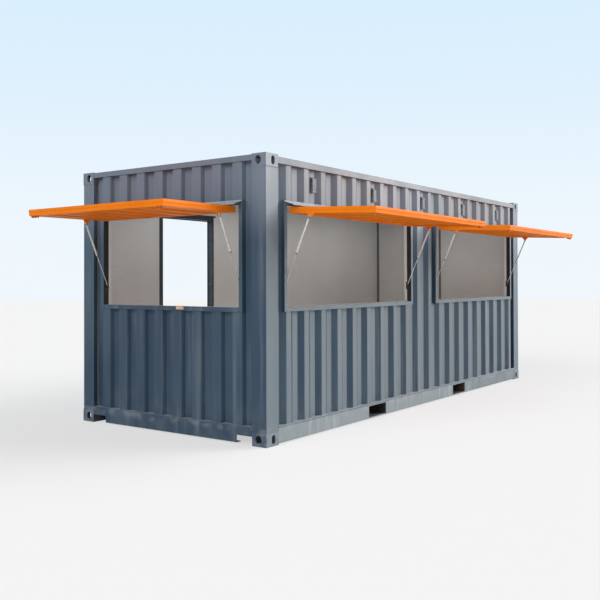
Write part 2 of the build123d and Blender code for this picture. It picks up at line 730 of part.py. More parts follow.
# Cargo doors: two closed leaves, each a bar frame with a pressed panel
leaf_stop = post_y - 2 * cargo_hinge_radius
leaf_base = floor_top + cargo_door_gap
leaf_top = rear_header_under - cargo_door_gap
panel_height = leaf_top - leaf_base - 2 * cargo_door_bar
panel_pitch = panel_height / cargo_panel_count
panel_flat = panel_pitch / 2 - side_slope_width
panel_first = panel_flat / 2 + side_slope_width
panel_bends = corrugation(panel_height / 2, panel_first, panel_flat, side_slope_width, panel_flat,
                          side_depth)
with BuildPart() as cargo_doors:
    for side in (-1, 1):
        inner_y = side * cargo_door_gap / 2
        back_x = cargo_face_x - cargo_door_thickness
        block((back_x, cargo_face_x), (inner_y, side * leaf_stop), (leaf_base, leaf_top))
        block((back_x, cargo_face_x), (inner_y + side * cargo_door_bar, side * (leaf_stop - cargo_door_bar)),
              (leaf_base + cargo_door_bar, leaf_top - cargo_door_bar), Mode.SUBTRACT)
        near, far = sorted((inner_y + side * cargo_door_bar, side * (leaf_stop - cargo_door_bar)))
        panel_plane = Plane((cargo_face_x, near, (leaf_base + leaf_top) / 2), (0, 0, 1), (0, 1, 0))
        extrude(sheet_section(panel_plane, panel_bends, -panel_height / 2, panel_height / 2, -1),
                amount=far - near)
        for share in cargo_hinge_shares:
            level = leaf_base + share * (leaf_top - leaf_base)
            hinge_z = (level - cargo_hinge_height / 2, level + cargo_hinge_height / 2)
            block((cargo_face_x, cargo_face_x + cargo_hinge_plate),
                  (side * (leaf_stop - cargo_door_bar), side * (post_y - cargo_hinge_radius)), hinge_z)
            with BuildSketch(Plane.XY.offset(hinge_z[0]), mode=Mode.PRIVATE) as barrel:
                with Locations((cargo_face_x + cargo_hinge_plate / 2, side * (post_y - cargo_hinge_radius))):
                    Circle(cargo_hinge_radius)
            extrude(barrel.sketch, amount=cargo_hinge_height)
save(cargo_doors, "cargo_doors")

with BuildPart() as cargo_door_linings:
    for side in (-1, 1):
        block((cargo_lining_x, cargo_lining_x + cargo_lining_thickness),
              (side * cargo_door_gap / 2, side * side_lining_span[0]), (floor_top, ceiling_height))
save(cargo_door_linings, "cargo_door_linings")

# Lock rods in their brackets, each with a handle
rod_x = cargo_face_x + lock_rod_stand
handle_reach = lock_handle_reach_share * (lock_rod_shares[-1] - lock_rod_shares[0]) * leaf_stop
handle_level = leaf_base + lock_handle_level_share * (leaf_top - leaf_base)
with BuildPart() as lock_rods:
    for side in (-1, 1):
        for share, turn in zip(lock_rod_shares, (side, -side)):
            rod_y = side * share * leaf_stop
            with BuildSketch(Plane.XY.offset(rail_top), mode=Mode.PRIVATE) as rod:
                with Locations((rod_x, rod_y)):
                    Circle(lock_rod_radius)
            extrude(rod.sketch, amount=rear_header_under - rail_top)
            for bracket_share in lock_bracket_shares:
                base = leaf_base + bracket_share * (leaf_top - leaf_base) - lock_bracket_height / 2
                block((cargo_face_x, cargo_face_x + lock_bracket_plate),
                      (rod_y - lock_bracket_width / 2, rod_y + lock_bracket_width / 2),
                      (base, base + lock_bracket_height))
                block((cargo_face_x, rod_x + lock_saddle_reach),
                      (rod_y - lock_saddle_reach, rod_y + lock_saddle_reach),
                      (base, base + lock_bracket_height))
            block((rod_x - lock_handle_thickness / 2, rod_x + lock_handle_thickness / 2),
                  (rod_y, rod_y + turn * handle_reach),
                  (handle_level - lock_handle_height / 2, handle_level + lock_handle_height / 2))
save(lock_rods, "lock_rods")
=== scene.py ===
"""Looks of the shipping container cabin: finishes, folded sheets, seals, welds, fasteners and fittings.

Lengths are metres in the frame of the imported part: X runs along the container, the serving side faces -Y
and Z is up.
"""

import json
from collections import namedtuple
from itertools import product
from math import cos, radians, sin

import bmesh
import bpy
from mathutils import Matrix, Vector


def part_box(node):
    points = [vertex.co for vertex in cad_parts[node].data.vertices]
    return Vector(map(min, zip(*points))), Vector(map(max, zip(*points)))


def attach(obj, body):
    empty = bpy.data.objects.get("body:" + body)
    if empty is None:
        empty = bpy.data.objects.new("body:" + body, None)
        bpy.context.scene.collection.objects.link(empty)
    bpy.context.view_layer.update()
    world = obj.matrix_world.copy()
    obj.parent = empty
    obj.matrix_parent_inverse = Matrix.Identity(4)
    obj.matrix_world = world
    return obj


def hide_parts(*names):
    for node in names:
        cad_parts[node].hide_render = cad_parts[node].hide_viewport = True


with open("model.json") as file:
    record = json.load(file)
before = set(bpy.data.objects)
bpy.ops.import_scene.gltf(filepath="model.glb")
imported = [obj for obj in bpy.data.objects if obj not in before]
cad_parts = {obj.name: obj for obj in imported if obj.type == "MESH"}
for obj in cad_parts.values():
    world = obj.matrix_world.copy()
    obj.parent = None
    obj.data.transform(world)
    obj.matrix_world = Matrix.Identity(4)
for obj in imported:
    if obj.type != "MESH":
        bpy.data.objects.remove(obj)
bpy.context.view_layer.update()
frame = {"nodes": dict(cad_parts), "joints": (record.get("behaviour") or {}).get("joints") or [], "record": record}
scene = bpy.context.scene
scene.view_settings.view_transform = "Standard"

# Sizes that the solids and several of these pieces share
sheet_thickness = 0.002
side_folds = {"first": 0.136, "outer": 0.072, "slope": 0.068, "inner": 0.076, "depth": 0.036}
end_folds = {"first": 0.127, "outer": 0.110, "slope": 0.018, "inner": 0.104, "depth": 0.0456}
side_fold_radius = 0.020
end_fold_radius = 0.011
fold_steps = 4
hatch_bar = 0.040
hinge_offset = 0.008
hinge_place_shares = (-0.8, 0, 0.8)
knuckle_length = 0.040
flap_edge_gap = 0.028
flap_sill_gap = 0.016
flap_thickness = 0.058
flap_bar = 0.050
flap_sheet_inset = 0.008
strut_inset = 0.014
strut_depth = 0.052
latch_half = 0.050
latch_plate = 0.003
latch_edge_gap = 0.006
door_bar = 0.060
lock_rod_places = (0.25825, 0.80574)
lock_rod_offset = 0.025
handle_share = 0.42

# Angles at which an edge is shaded sharp or is eased
sharp_angle = radians(32)
member_sharp_angle = radians(16)
eased_angle = radians(40)


# Node trees

def add_node(tree, kind, **settings):
    """A node with its properties and unlinked inputs set by name."""
    node = tree.nodes.new(kind)
    for name, value in settings.items():
        if hasattr(node, name):
            setattr(node, name, value)
        else:
            node.inputs[name.replace("_", " ")].default_value = value
    return node


def new_material(name):
    """A material, its tree and its shader."""
    material = bpy.data.materials.new(name)
    material.use_nodes = True
    tree = material.node_tree
    return material, tree, tree.nodes["Principled BSDF"]


def object_point(tree, scale=(1, 1, 1)):
    """Object coordinates, stretched by a scale."""
    place = add_node(tree, "ShaderNodeTexCoord")
    mapping = add_node(tree, "ShaderNodeMapping", Scale=scale)
    tree.links.new(place.outputs["Object"], mapping.inputs["Vector"])
    return mapping.outputs["Vector"]


def noise(tree, scale, detail=4, stretch=(1, 1, 1)):
    """Cloudy noise from 0 to 1."""
    texture = add_node(tree, "ShaderNodeTexNoise", Scale=scale, Detail=detail)
    tree.links.new(object_point(tree, stretch), texture.inputs["Vector"])
    return texture.outputs["Fac"]


def ramp(tree, value, low, high, to_low=0.0, to_high=1.0):
    """A value carried smoothly from one span to another."""
    node = add_node(tree, "ShaderNodeMapRange", interpolation_type="SMOOTHSTEP")
    limits = {"From Min": low, "From Max": high, "To Min": to_low, "To Max": to_high}
    for label, number in limits.items():
        node.inputs[label].default_value = number
    tree.links.new(value, node.inputs["Value"])
    return node.outputs["Result"]


def math(tree, operation, first, second):
    """Two values joined by one sum."""
    node = add_node(tree, "ShaderNodeMath", operation=operation)
    for socket, value in zip(node.inputs, (first, second)):
        if isinstance(value, (int, float)):
            socket.default_value = value
        else:
            tree.links.new(value, socket)
    return node.outputs["Value"]


def times(tree, *factors):
    """The product of several values."""
    total = factors[0]
    for factor in factors[1:]:
        total = math(tree, "MULTIPLY", total, factor)
    return total


def mix_colour(tree, factor, first, second):
    """Two colours mixed by a factor."""
    node = add_node(tree, "ShaderNodeMix", data_type="RGBA")
    sockets = (node.inputs[0], node.inputs[6], node.inputs[7])
    for socket, value in zip(sockets, (factor, first, second)):
        if isinstance(value, (int, float)):
            socket.default_value = value
        elif isinstance(value, tuple):
            socket.default_value = (*value, 1)
        else:
            tree.links.new(value, socket)
    return node.outputs[2]


def wash(tree, colour, tint, *amounts):
    """A colour with a tint laid over it, by the product of the amounts."""
    return mix_colour(tree, times(tree, *amounts), colour, tint)


def darker(colour, share):
    """A colour turned down to a share of its light."""
    return tuple(part * share for part in colour)


def place_along(tree, axis):
    """The place of the shaded point along an axis of the frame."""
    parts = add_node(tree, "ShaderNodeSeparateXYZ")
    tree.links.new(object_point(tree), parts.inputs["Vector"])
    return parts.outputs[axis]


def facing(tree, axis):
    """How far the surface faces along an axis of the frame."""
    surface = add_node(tree, "ShaderNodeNewGeometry")
    parts = add_node(tree, "ShaderNodeSeparateXYZ")
    tree.links.new(surface.outputs["True Normal"], parts.inputs["Vector"])
    return parts.outputs[axis]


def bump(tree, shader, value, distance, strength=0.3):
    """Relief on the shader's surface."""
    node = add_node(tree, "ShaderNodeBump", Strength=strength, Distance=distance)
    tree.links.new(value, node.inputs["Height"])
    tree.links.new(node.outputs["Normal"], shader.inputs["Normal"])


def coat(tree, shader, colour, roughness):
    """Give the shader its colour and its roughness."""
    tree.links.new(colour, shader.inputs["Base Color"])
    tree.links.new(roughness, shader.inputs["Roughness"])


# Finishes

def slate_paint():
    """Satin slate paint with painted light: lighter high up as a painted sky reflection, lighter on the serving
    side as painted sunlight, and a painted shadow under the rail ledge; dusty on ledges, with smudges, runs and
    rust.
    """
    material, tree, shader = new_material("slate_paint")
    fresh = (0.0235, 0.0495, 0.086)
    # painted sky reflection: the lighter colour that the walls take high up
    painted_sky_sheen = (0.185, 0.208, 0.262)
    # painted sunlight: the lighter colours of the serving side, lighter still high up
    painted_sunlight = (0.225, 0.265, 0.283)
    painted_sunlit_top = (0.37, 0.372, 0.4)
    clouded = (0.075, 0.12, 0.155)
    run_down = (0.19, 0.22, 0.24)
    splashed = (0.2, 0.21, 0.22)
    chalked = (0.34, 0.385, 0.4)
    dripped = (0.5, 0.54, 0.55)
    # painted shadow: the dark band under the ledge of the bottom side rails
    painted_ledge_shadow = (0.04, 0.055, 0.065)
    smudged = (0.36, 0.38, 0.43)
    worn = (0.27, 0.3, 0.335)
    dusty = (0.38, 0.42, 0.47)
    rusty = (0.16, 0.06, 0.025)
    # heights over which the painted sky reflection comes in
    sheen_start, sheen_stop = 1.75, 2.4

    x, y, z = [place_along(tree, axis) for axis in "XYZ"]
    from_middle = math(tree, "ABSOLUTE", x, 0.0)
    off_centre = math(tree, "ABSOLUTE", y, 0.0)
    # the serving side's face, used for the painted sunlight and for the dirt on its rail
    on_serving_side = times(tree, ramp(tree, facing(tree, "Y"), -0.88, -0.98), ramp(tree, y, -1.1, -1.16))
    # painted sky reflection: lighter high up
    colour = wash(tree, fresh, painted_sky_sheen, ramp(tree, z, sheen_start, sheen_stop, 0.0, 0.85))
    # painted sunlight on the serving side, lighter still high up
    colour = wash(tree, colour, painted_sunlight, on_serving_side, 0.6)
    colour = wash(tree, colour, painted_sunlit_top, on_serving_side, ramp(tree, z, sheen_start, sheen_stop, 0.0, 0.3))

    cloud = noise(tree, 2.2, 5, (1, 1, 0.35))
    runs = noise(tree, 9.0, 3, (1, 1, 0.06))
    colour = wash(tree, colour, clouded, ramp(tree, cloud, 0.35, 0.7, 0.0, 0.4))
    colour = wash(tree, colour, run_down, ramp(tree, runs, 0.52, 0.75, 0.0, 0.35))
    splashes = ramp(tree, noise(tree, 5.0, 6), 0.35, 0.75)
    colour = wash(tree, colour, splashed, ramp(tree, z, 0.5, 0.05), splashes, 0.25)

    low_down = ramp(tree, z, 0.166, 0.15)
    between_castings = ramp(tree, from_middle, 2.853, 2.85)
    on_rail = times(tree, low_down, on_serving_side, between_castings, ramp(tree, x, 1.5, 1.0, 0.25, 1.0))
    colour = wash(tree, colour, chalked, on_rail, 0.38)
    drips = ramp(tree, noise(tree, 26.0, 3, (1, 1, 0.12)), 0.5, 0.7)
    drip_patches = ramp(tree, noise(tree, 0.9, 1), 0.4, 0.6, 0.1, 0.4)
    colour = wash(tree, colour, dripped, drips, drip_patches, on_rail)
    # painted shadow under the ledge, on the serving side's rail
    under_ledge = times(tree, ramp(tree, z, 0.143, 0.154, 0.0, 0.8), ramp(tree, z, 0.1572, 0.1568))
    colour = wash(tree, colour, painted_ledge_shadow, under_ledge, on_rail)
    smudges = ramp(tree, noise(tree, 8.5, 2, (1, 1, 1.1)), 0.46, 0.64, 0.0, 0.24)
    colour = wash(tree, colour, smudged, low_down, ramp(tree, z, 0.07, 0.135), smudges)

    at_corner = times(tree, ramp(tree, from_middle, 2.848, 2.853), ramp(tree, off_centre, 1.054, 1.059))
    on_casting = times(tree, at_corner, ramp(tree, z, 0.1185, 0.1165))
    colour = wash(tree, colour, worn, on_casting, ramp(tree, noise(tree, 14.0, 4), 0.3, 0.7, 0.06, 0.42))
    on_ledge = times(tree, ramp(tree, facing(tree, "Z"), 0.5, 0.9), ramp(tree, z, 1.4, 0.6))
    colour = wash(tree, colour, dusty, on_ledge, 0.55)
    specks = ramp(tree, noise(tree, 60.0, 2), 0.74, 0.8)
    rust_patches = ramp(tree, noise(tree, 3.1, 2), 0.55, 0.7)
    colour = wash(tree, colour, rusty, specks, rust_patches)

    dull_top = ramp(tree, facing(tree, "Z"), 0.3, 0.9, 0.0, 0.85)
    coat(tree, shader, colour, math(tree, "MAXIMUM", ramp(tree, cloud, 0.2, 0.8, 0.36, 0.52), dull_top))
    shader.inputs["Specular IOR Level"].default_value = 0.4
    dents = math(tree, "ADD", noise(tree, 2.6, 2), times(tree, noise(tree, 300.0, 2), 0.04))
    bump(tree, shader, dents, 0.012, 0.4)
    return material


def orange_paint():
    """Satin orange paint with a little grime in its clouds."""
    material, tree, shader = new_material("orange_paint")
    bright, dull, grimy = (0.85, 0.205, 0.006), (0.79, 0.18, 0.008), (0.4, 0.12, 0.03)
    cloud = noise(tree, 5.0, 5)
    colour = wash(tree, bright, dull, ramp(tree, cloud, 0.3, 0.8))
    colour = wash(tree, colour, grimy, ramp(tree, noise(tree, 24.0, 4), 0.6, 0.8, 0.0, 0.22))
    coat(tree, shader, colour, ramp(tree, cloud, 0.2, 0.8, 0.38, 0.52))
    shader.inputs["Specular IOR Level"].default_value = 0.08
    bump(tree, shader, noise(tree, 400.0, 2), 0.0004, 0.2)
    return material


def chalky_paint(name, colour, stain):
    """Pale chalky paint with stains that run down."""
    material, tree, shader = new_material(name)
    cloud = noise(tree, 14.0, 4)
    mixed = wash(tree, colour, darker(colour, 0.8), ramp(tree, cloud, 0.3, 0.75))
    streaks = ramp(tree, noise(tree, 45.0, 3, (1, 1, 0.15)), 0.58, 0.75, 0.0, 0.5)
    coat(tree, shader, wash(tree, mixed, stain, streaks), ramp(tree, cloud, 0.2, 0.8, 0.5, 0.7))
    bump(tree, shader, noise(tree, 300.0, 2), 0.0004, 0.2)
    return material


def lining_board():
    """Matt off-white lining board with faint marks."""
    material, tree, shader = new_material("lining_board")
    clean, yellowed, marked = (0.82, 0.82, 0.815), (0.77, 0.77, 0.765), (0.5, 0.48, 0.45)
    cloud = noise(tree, 1.7, 4)
    colour = wash(tree, clean, yellowed, ramp(tree, cloud, 0.3, 0.75))
    marks = ramp(tree, noise(tree, 11.0, 5, (0.3, 0.3, 1.5)), 0.62, 0.78)
    colour = wash(tree, colour, marked, marks, 0.18)
    coat(tree, shader, colour, ramp(tree, cloud, 0.2, 0.8, 0.5, 0.62))
    bump(tree, shader, noise(tree, 260.0, 3), 0.0004, 0.2)
    return material


def floor_board():
    """Worn plywood with long grain and dark scuffs."""
    material, tree, shader = new_material("floor_board")
    dark_grain, pale_grain, scuffed = (0.19, 0.14, 0.1), (0.33, 0.26, 0.19), (0.09, 0.07, 0.055)
    grain = noise(tree, 6.0, 6, (0.7, 9, 9))
    colour = wash(tree, dark_grain, pale_grain, ramp(tree, grain, 0.3, 0.75))
    colour = wash(tree, colour, scuffed, ramp(tree, noise(tree, 3.0, 6), 0.5, 0.75, 0.0, 0.6))
    coat(tree, shader, colour, ramp(tree, grain, 0.2, 0.8, 0.55, 0.8))
    bump(tree, shader, grain, 0.001, 0.3)
    return material


def metal(name, colour, roughness, metallic=1.0, grain=90.0):
    """Bare or coated metal with a little unevenness."""
    material, tree, shader = new_material(name)
    cloud = noise(tree, grain, 3)
    mixed = wash(tree, colour, darker(colour, 0.7), ramp(tree, cloud, 0.3, 0.75))
    coat(tree, shader, mixed, ramp(tree, cloud, 0.2, 0.8, roughness * 0.8, roughness * 1.2))
    shader.inputs["Metallic"].default_value = metallic
    bump(tree, shader, cloud, 0.0003, 0.15)
    return material


def rusty_steel():
    """Dark coated steel with brown rust and road dirt."""
    material, tree, shader = new_material("rusty_steel")
    coated, rusted = (0.03, 0.034, 0.04), (0.13, 0.075, 0.045)
    cloud = noise(tree, 8.0, 6)
    colour = wash(tree, coated, rusted, ramp(tree, cloud, 0.42, 0.68))
    coat(tree, shader, colour, ramp(tree, cloud, 0.2, 0.8, 0.55, 0.85))
    bump(tree, shader, noise(tree, 120.0, 4), 0.0006, 0.3)
    return material


finishes = {
    "slate_paint": slate_paint(),
    "orange_paint": orange_paint(),
    "lining_board": lining_board(),
    "floor_board": floor_board(),
    "strut_grey": metal("strut_grey", (0.8, 0.76, 0.7), roughness=0.4, metallic=0.0),
    "polished_rod": metal("polished_rod", (0.65, 0.65, 0.66), roughness=0.15),
    "dark_steel": rusty_steel(),
    "zinc_steel": metal("zinc_steel", (0.42, 0.43, 0.44), roughness=0.42, metallic=0.8, grain=40.0),
}
finishes["casting_paint"] = finishes["slate_paint"]
rubber = metal("black_rubber", (0.012, 0.012, 0.013), roughness=0.6, metallic=0.0, grain=60.0)
black_coat = metal("black_coat", (0.018, 0.019, 0.021), roughness=0.4, metallic=0.0, grain=70.0)
vent_paint = chalky_paint("vent_paint", (0.19, 0.21, 0.235), (0.15, 0.11, 0.085))
keeper_paint = chalky_paint("keeper_paint", (0.75, 0.45, 0.3), (0.35, 0.17, 0.09))
# painted light: the rain flashings get a pale grey-blue, lighter than the slate walls they are painted like, for
# the sun on their tops
flashing_painted_light = chalky_paint("flashing_painted_light", (0.4, 0.43, 0.46), (0.22, 0.23, 0.24))
seam_grey = metal("seam_grey", (0.2, 0.195, 0.19), roughness=0.6, metallic=0.0, grain=60.0)
latch_steel = metal("latch_steel", (0.16, 0.15, 0.14), roughness=0.5, metallic=0.6, grain=60.0)
# painted shade: the doorway frame gets a near-black slate, darker than the walls, for the shade on its inner faces
door_shade_paint = metal("door_shade_paint", (0.03, 0.042, 0.055), roughness=0.45, metallic=0.0, grain=12.0)

slots = {subpart["node"]: subpart["material_slot"] for subpart in frame["record"]["subparts"]}
for node_name, slot in slots.items():
    node = frame["nodes"][node_name]
    node.data.materials.clear()
    node.data.materials.append(finishes[slot])
# the flashings' paint holds painted light and the doorway frame's paint holds painted shade
own_finishes = {"vents": vent_paint, "sill_keeper": keeper_paint, "strut_brackets": black_coat,
                "rain_flashings": flashing_painted_light, "door_frame": door_shade_paint}
for node_name, finish in own_finishes.items():
    frame["nodes"][node_name].data.materials[0] = finish


# Mesh tools

def axes(origin, first, second):
    """A place with its own axes: two given ones and the one square to both."""
    third = first.cross(second)
    columns = (first, second, third, Vector(origin))
    return Matrix([[column[row] for column in columns] for row in range(3)] + [[0, 0, 0, 1]])


def add_skin(shape, ring, following):
    """Faces between two rings that have the same count of points."""
    for index in range(len(ring)):
        after = (index + 1) % len(ring)
        shape.faces.new((ring[index], following[index], following[after], ring[after]))


def add_prism(shape, outline, start, stop, place):
    """A closed outline of (x, y) points drawn along the place's z."""
    rings = [[shape.verts.new(place @ Vector((x, y, z))) for x, y in outline] for z in (stop, start)]
    add_skin(shape, *rings)
    for ring in rings:
        shape.faces.new(ring)


def add_block(shape, low, high, place):
    """A block between two corners of the place's own frame."""
    outline = [(low[0], low[1]), (high[0], low[1]), (high[0], high[1]), (low[0], high[1])]
    add_prism(shape, outline, low[2], high[2], place)


def add_turned(shape, profile, place, segments=20):
    """A closed profile of (radius, height) points turned about the place's z."""
    rings = []
    for step in range(segments):
        turn = place @ Matrix.Rotation(radians(360) * step / segments, 4, "Z")
        rings.append([shape.verts.new(turn @ Vector((radius, 0, level))) for radius, level in profile])
    for ring, following in zip(rings, rings[1:] + rings[:1]):
        add_skin(shape, ring, following)


def add_pin(shape, radius, length, chamfer, place, segments=20):
    """A round pin with chamfered ends, from the place's origin along its z."""
    profile = [(0.0, 0.0), (radius - chamfer, 0.0), (radius, chamfer), (radius, length - chamfer),
               (radius - chamfer, length), (0.0, length)]
    add_turned(shape, profile, place, segments)


def mesh_object(name, mesh):
    """An object for a mesh, in the scene."""
    piece = bpy.data.objects.new(name, mesh)
    scene.collection.objects.link(piece)
    return piece


def finish_piece(name, shape, finish, body, bevel=0.0, outwards=True):
    """Close a shape, give it its finish and eased edges, and let it ride on its body."""
    bmesh.ops.remove_doubles(shape, verts=shape.verts, dist=1e-5)
    if outwards:
        bmesh.ops.recalc_face_normals(shape, faces=shape.faces)
    mesh = bpy.data.meshes.new(name)
    shape.to_mesh(mesh)
    shape.free()
    mesh.materials.append(finish)
    mesh.shade_smooth()
    mesh.set_sharp_from_angle(angle=sharp_angle if outwards else member_sharp_angle)
    piece = mesh_object(name, mesh)
    if bevel:
        ease = piece.modifiers.new("eased_edges", "BEVEL")
        ease.width = bevel
        ease.segments = 2
        ease.limit_method = "ANGLE"
        ease.angle_limit = eased_angle
    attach(piece, body)
    return piece


# Geometry node trees

def new_tree(name, sizes):
    """A geometry tree with named inputs after its geometry: its sizes, then its finish."""
    tree = bpy.data.node_groups.new(name, "GeometryNodeTree")
    tree.interface.new_socket("Geometry", in_out="INPUT", socket_type="NodeSocketGeometry")
    for label, kind in {**sizes, "Finish": "Material"}.items():
        tree.interface.new_socket(label, in_out="INPUT", socket_type=f"NodeSocket{kind}")
    tree.interface.new_socket("Geometry", in_out="OUTPUT", socket_type="NodeSocketGeometry")
    return tree, tree.nodes.new("NodeGroupInput").outputs, tree.nodes.new("NodeGroupOutput").inputs[0]


def wire(tree, *pairs):
    """Link outputs to inputs, pair by pair."""
    for source, target in pairs:
        tree.links.new(source, target)


def close_tree(tree, grown, finish, result):
    """The end of a tree: its geometry made real and given its finish."""
    real = tree.nodes.new("GeometryNodeRealizeInstances")
    paint = tree.nodes.new("GeometryNodeSetMaterial")
    wire(tree, (grown, real.inputs[0]), (real.outputs[0], paint.inputs["Geometry"]),
         (finish, paint.inputs["Material"]), (paint.outputs[0], result))
    return tree


def fastener_tree():
    """Screw heads on washers, one at each point, turned to face along the point's own direction."""
    tree, given, result = new_tree("fasteners", {
        "Head radius": "Float", "Head height": "Float", "Washer radius": "Float", "Sides": "Int"})
    crown_share = 0.72
    washer_share = 0.3
    head = tree.nodes.new("GeometryNodeMeshCone")
    washer = add_node(tree, "GeometryNodeMeshCone", Vertices=12)
    both = tree.nodes.new("GeometryNodeJoinGeometry")
    heading = add_node(tree, "GeometryNodeInputNamedAttribute", data_type="FLOAT_VECTOR", Name="facing")
    turn = add_node(tree, "FunctionNodeAlignRotationToVector", axis="Z")
    place = tree.nodes.new("GeometryNodeInstanceOnPoints")
    wire(tree, (given["Head radius"], head.inputs["Radius Bottom"]),
         (times(tree, given["Head radius"], crown_share), head.inputs["Radius Top"]),
         (given["Head height"], head.inputs["Depth"]), (given["Sides"], head.inputs["Vertices"]),
         (given["Washer radius"], washer.inputs["Radius Bottom"]),
         (given["Washer radius"], washer.inputs["Radius Top"]),
         (times(tree, given["Head height"], washer_share), washer.inputs["Depth"]),
         (head.outputs["Mesh"], both.inputs[0]), (washer.outputs["Mesh"], both.inputs[0]),
         (heading.outputs["Attribute"], turn.inputs["Vector"]),
         (turn.outputs["Rotation"], place.inputs["Rotation"]),
         (given["Geometry"], place.inputs["Points"]), (both.outputs[0], place.inputs["Instance"]))
    return close_tree(tree, place.outputs["Instances"], given["Finish"], result)


def bead_tree():
    """Rippled beads along drawn lines, for welds."""
    tree, given, result = new_tree("beads", {
        "Bead radius": "Float", "Bead step": "Float", "Ripple": "Float"})
    curve = tree.nodes.new("GeometryNodeMeshToCurve")
    steps = add_node(tree, "GeometryNodeResampleCurve", mode="LENGTH")
    ring = add_node(tree, "GeometryNodeCurvePrimitiveCircle", Resolution=6)
    place = tree.nodes.new("GeometryNodeInputPosition")
    cloud = add_node(tree, "ShaderNodeTexNoise", Scale=95.0, Detail=1.0)
    spread = add_node(tree, "ShaderNodeMath", operation="MULTIPLY_ADD")
    thinnest = 0.7
    spread.inputs[2].default_value = thinnest
    sweep = add_node(tree, "GeometryNodeCurveToMesh", Fill_Caps=True)
    wire(tree, (given["Geometry"], curve.inputs[0]), (curve.outputs[0], steps.inputs["Curve"]),
         (given["Bead step"], steps.inputs["Length"]), (steps.outputs[0], sweep.inputs["Curve"]),
         (given["Bead radius"], ring.inputs["Radius"]), (ring.outputs[0], sweep.inputs["Profile Curve"]),
         (place.outputs[0], cloud.inputs["Vector"]), (cloud.outputs["Fac"], spread.inputs[0]),
         (given["Ripple"], spread.inputs[1]), (spread.outputs[0], sweep.inputs["Scale"]))
    return close_tree(tree, sweep.outputs[0], given["Finish"], result)


def sheet_tree():
    """Pressed sheets: a fold line eased at its folds, drawn out to its height and given its thickness."""
    tree, given, result = new_tree("pressed_sheet", {
        "Fold radius": "Float", "Fold steps": "Int", "Height": "Vector", "Thickness": "Vector"})
    curve = tree.nodes.new("GeometryNodeMeshToCurve")
    ease = add_node(tree, "GeometryNodeFilletCurve", mode="POLY", Limit_Radius=True)
    line = tree.nodes.new("GeometryNodeCurveToMesh")
    rise = add_node(tree, "GeometryNodeExtrudeMesh", mode="EDGES", Offset_Scale=1.0)
    back = add_node(tree, "GeometryNodeExtrudeMesh", mode="FACES", Offset_Scale=1.0, Individual=False)
    front = tree.nodes.new("GeometryNodeFlipFaces")
    both = tree.nodes.new("GeometryNodeJoinGeometry")
    merge = add_node(tree, "GeometryNodeMergeByDistance", Distance=1e-6)
    wire(tree, (given["Geometry"], curve.inputs[0]), (curve.outputs[0], ease.inputs["Curve"]),
         (given["Fold radius"], ease.inputs["Radius"]), (given["Fold steps"], ease.inputs["Count"]),
         (ease.outputs[0], line.inputs["Curve"]), (line.outputs[0], rise.inputs["Mesh"]),
         (given["Height"], rise.inputs["Offset"]), (rise.outputs["Mesh"], back.inputs["Mesh"]),
         (given["Thickness"], back.inputs["Offset"]), (rise.outputs["Mesh"], front.inputs[0]),
         (back.outputs["Mesh"], both.inputs[0]), (front.outputs[0], both.inputs[0]),
         (both.outputs[0], merge.inputs[0]))
    return close_tree(tree, merge.outputs[0], given["Finish"], result)


trees = {"fasteners": fastener_tree(), "beads": bead_tree(), "pressed_sheet": sheet_tree()}


def grown_piece(name, start_mesh, tree, settings, body, smooth=True):
    """The plain mesh that a tree grows from a start mesh, riding on its body."""
    seed = mesh_object(f"{name}_seed", start_mesh)
    grow = seed.modifiers.new("grow", "NODES")
    grow.node_group = tree
    for item in tree.interface.items_tree:
        if item.in_out == "INPUT" and item.name in settings:
            grow[item.identifier] = settings[item.name]
    graph = bpy.context.evaluated_depsgraph_get()
    mesh = bpy.data.meshes.new_from_object(seed.evaluated_get(graph))
    mesh.name = name
    bpy.data.objects.remove(seed)
    grown = bmesh.new()
    grown.from_mesh(mesh)
    bmesh.ops.recalc_face_normals(grown, faces=grown.faces)
    grown.to_mesh(mesh)
    grown.free()
    if smooth:
        mesh.shade_smooth()
        mesh.set_sharp_from_angle(angle=sharp_angle)
    piece = mesh_object(name, mesh)
    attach(piece, body)
    return piece


def fasteners(name, spots, body, finish, head_radius, head_height, washer_radius, sides=12):
    """Screws or bolts at spots, each a place and the direction that its head faces."""
    mesh = bpy.data.meshes.new(f"{name}_points")
    mesh.from_pydata([place for place, _ in spots], [], [])
    heading = mesh.attributes.new("facing", "FLOAT_VECTOR", "POINT")
    heading.data.foreach_set("vector", [part for _, direction in spots for part in direction])
    settings = {"Head radius": head_radius, "Head height": head_height, "Washer radius": washer_radius,
                "Sides": sides, "Finish": finish}
    return grown_piece(name, mesh, trees["fasteners"], settings, body, smooth=False)


def lines_mesh(name, lines):
    """Open lines as one mesh of points and edges."""
    points = []
    edges = []
    for line in lines:
        edges += [(len(points) + index, len(points) + index + 1) for index in range(len(line) - 1)]
        points += line
    mesh = bpy.data.meshes.new(f"{name}_lines")
    mesh.from_pydata(points, edges, [])
    return mesh


def beads(name, lines, body, finish, radius, step=0.012, ripple=0.6):
    """Weld beads along lines."""
    settings = {"Bead radius": radius, "Bead step": step, "Ripple": ripple, "Finish": finish}
    return grown_piece(name, lines_mesh(name, lines), trees["beads"], settings, body)


# Places of the hatches

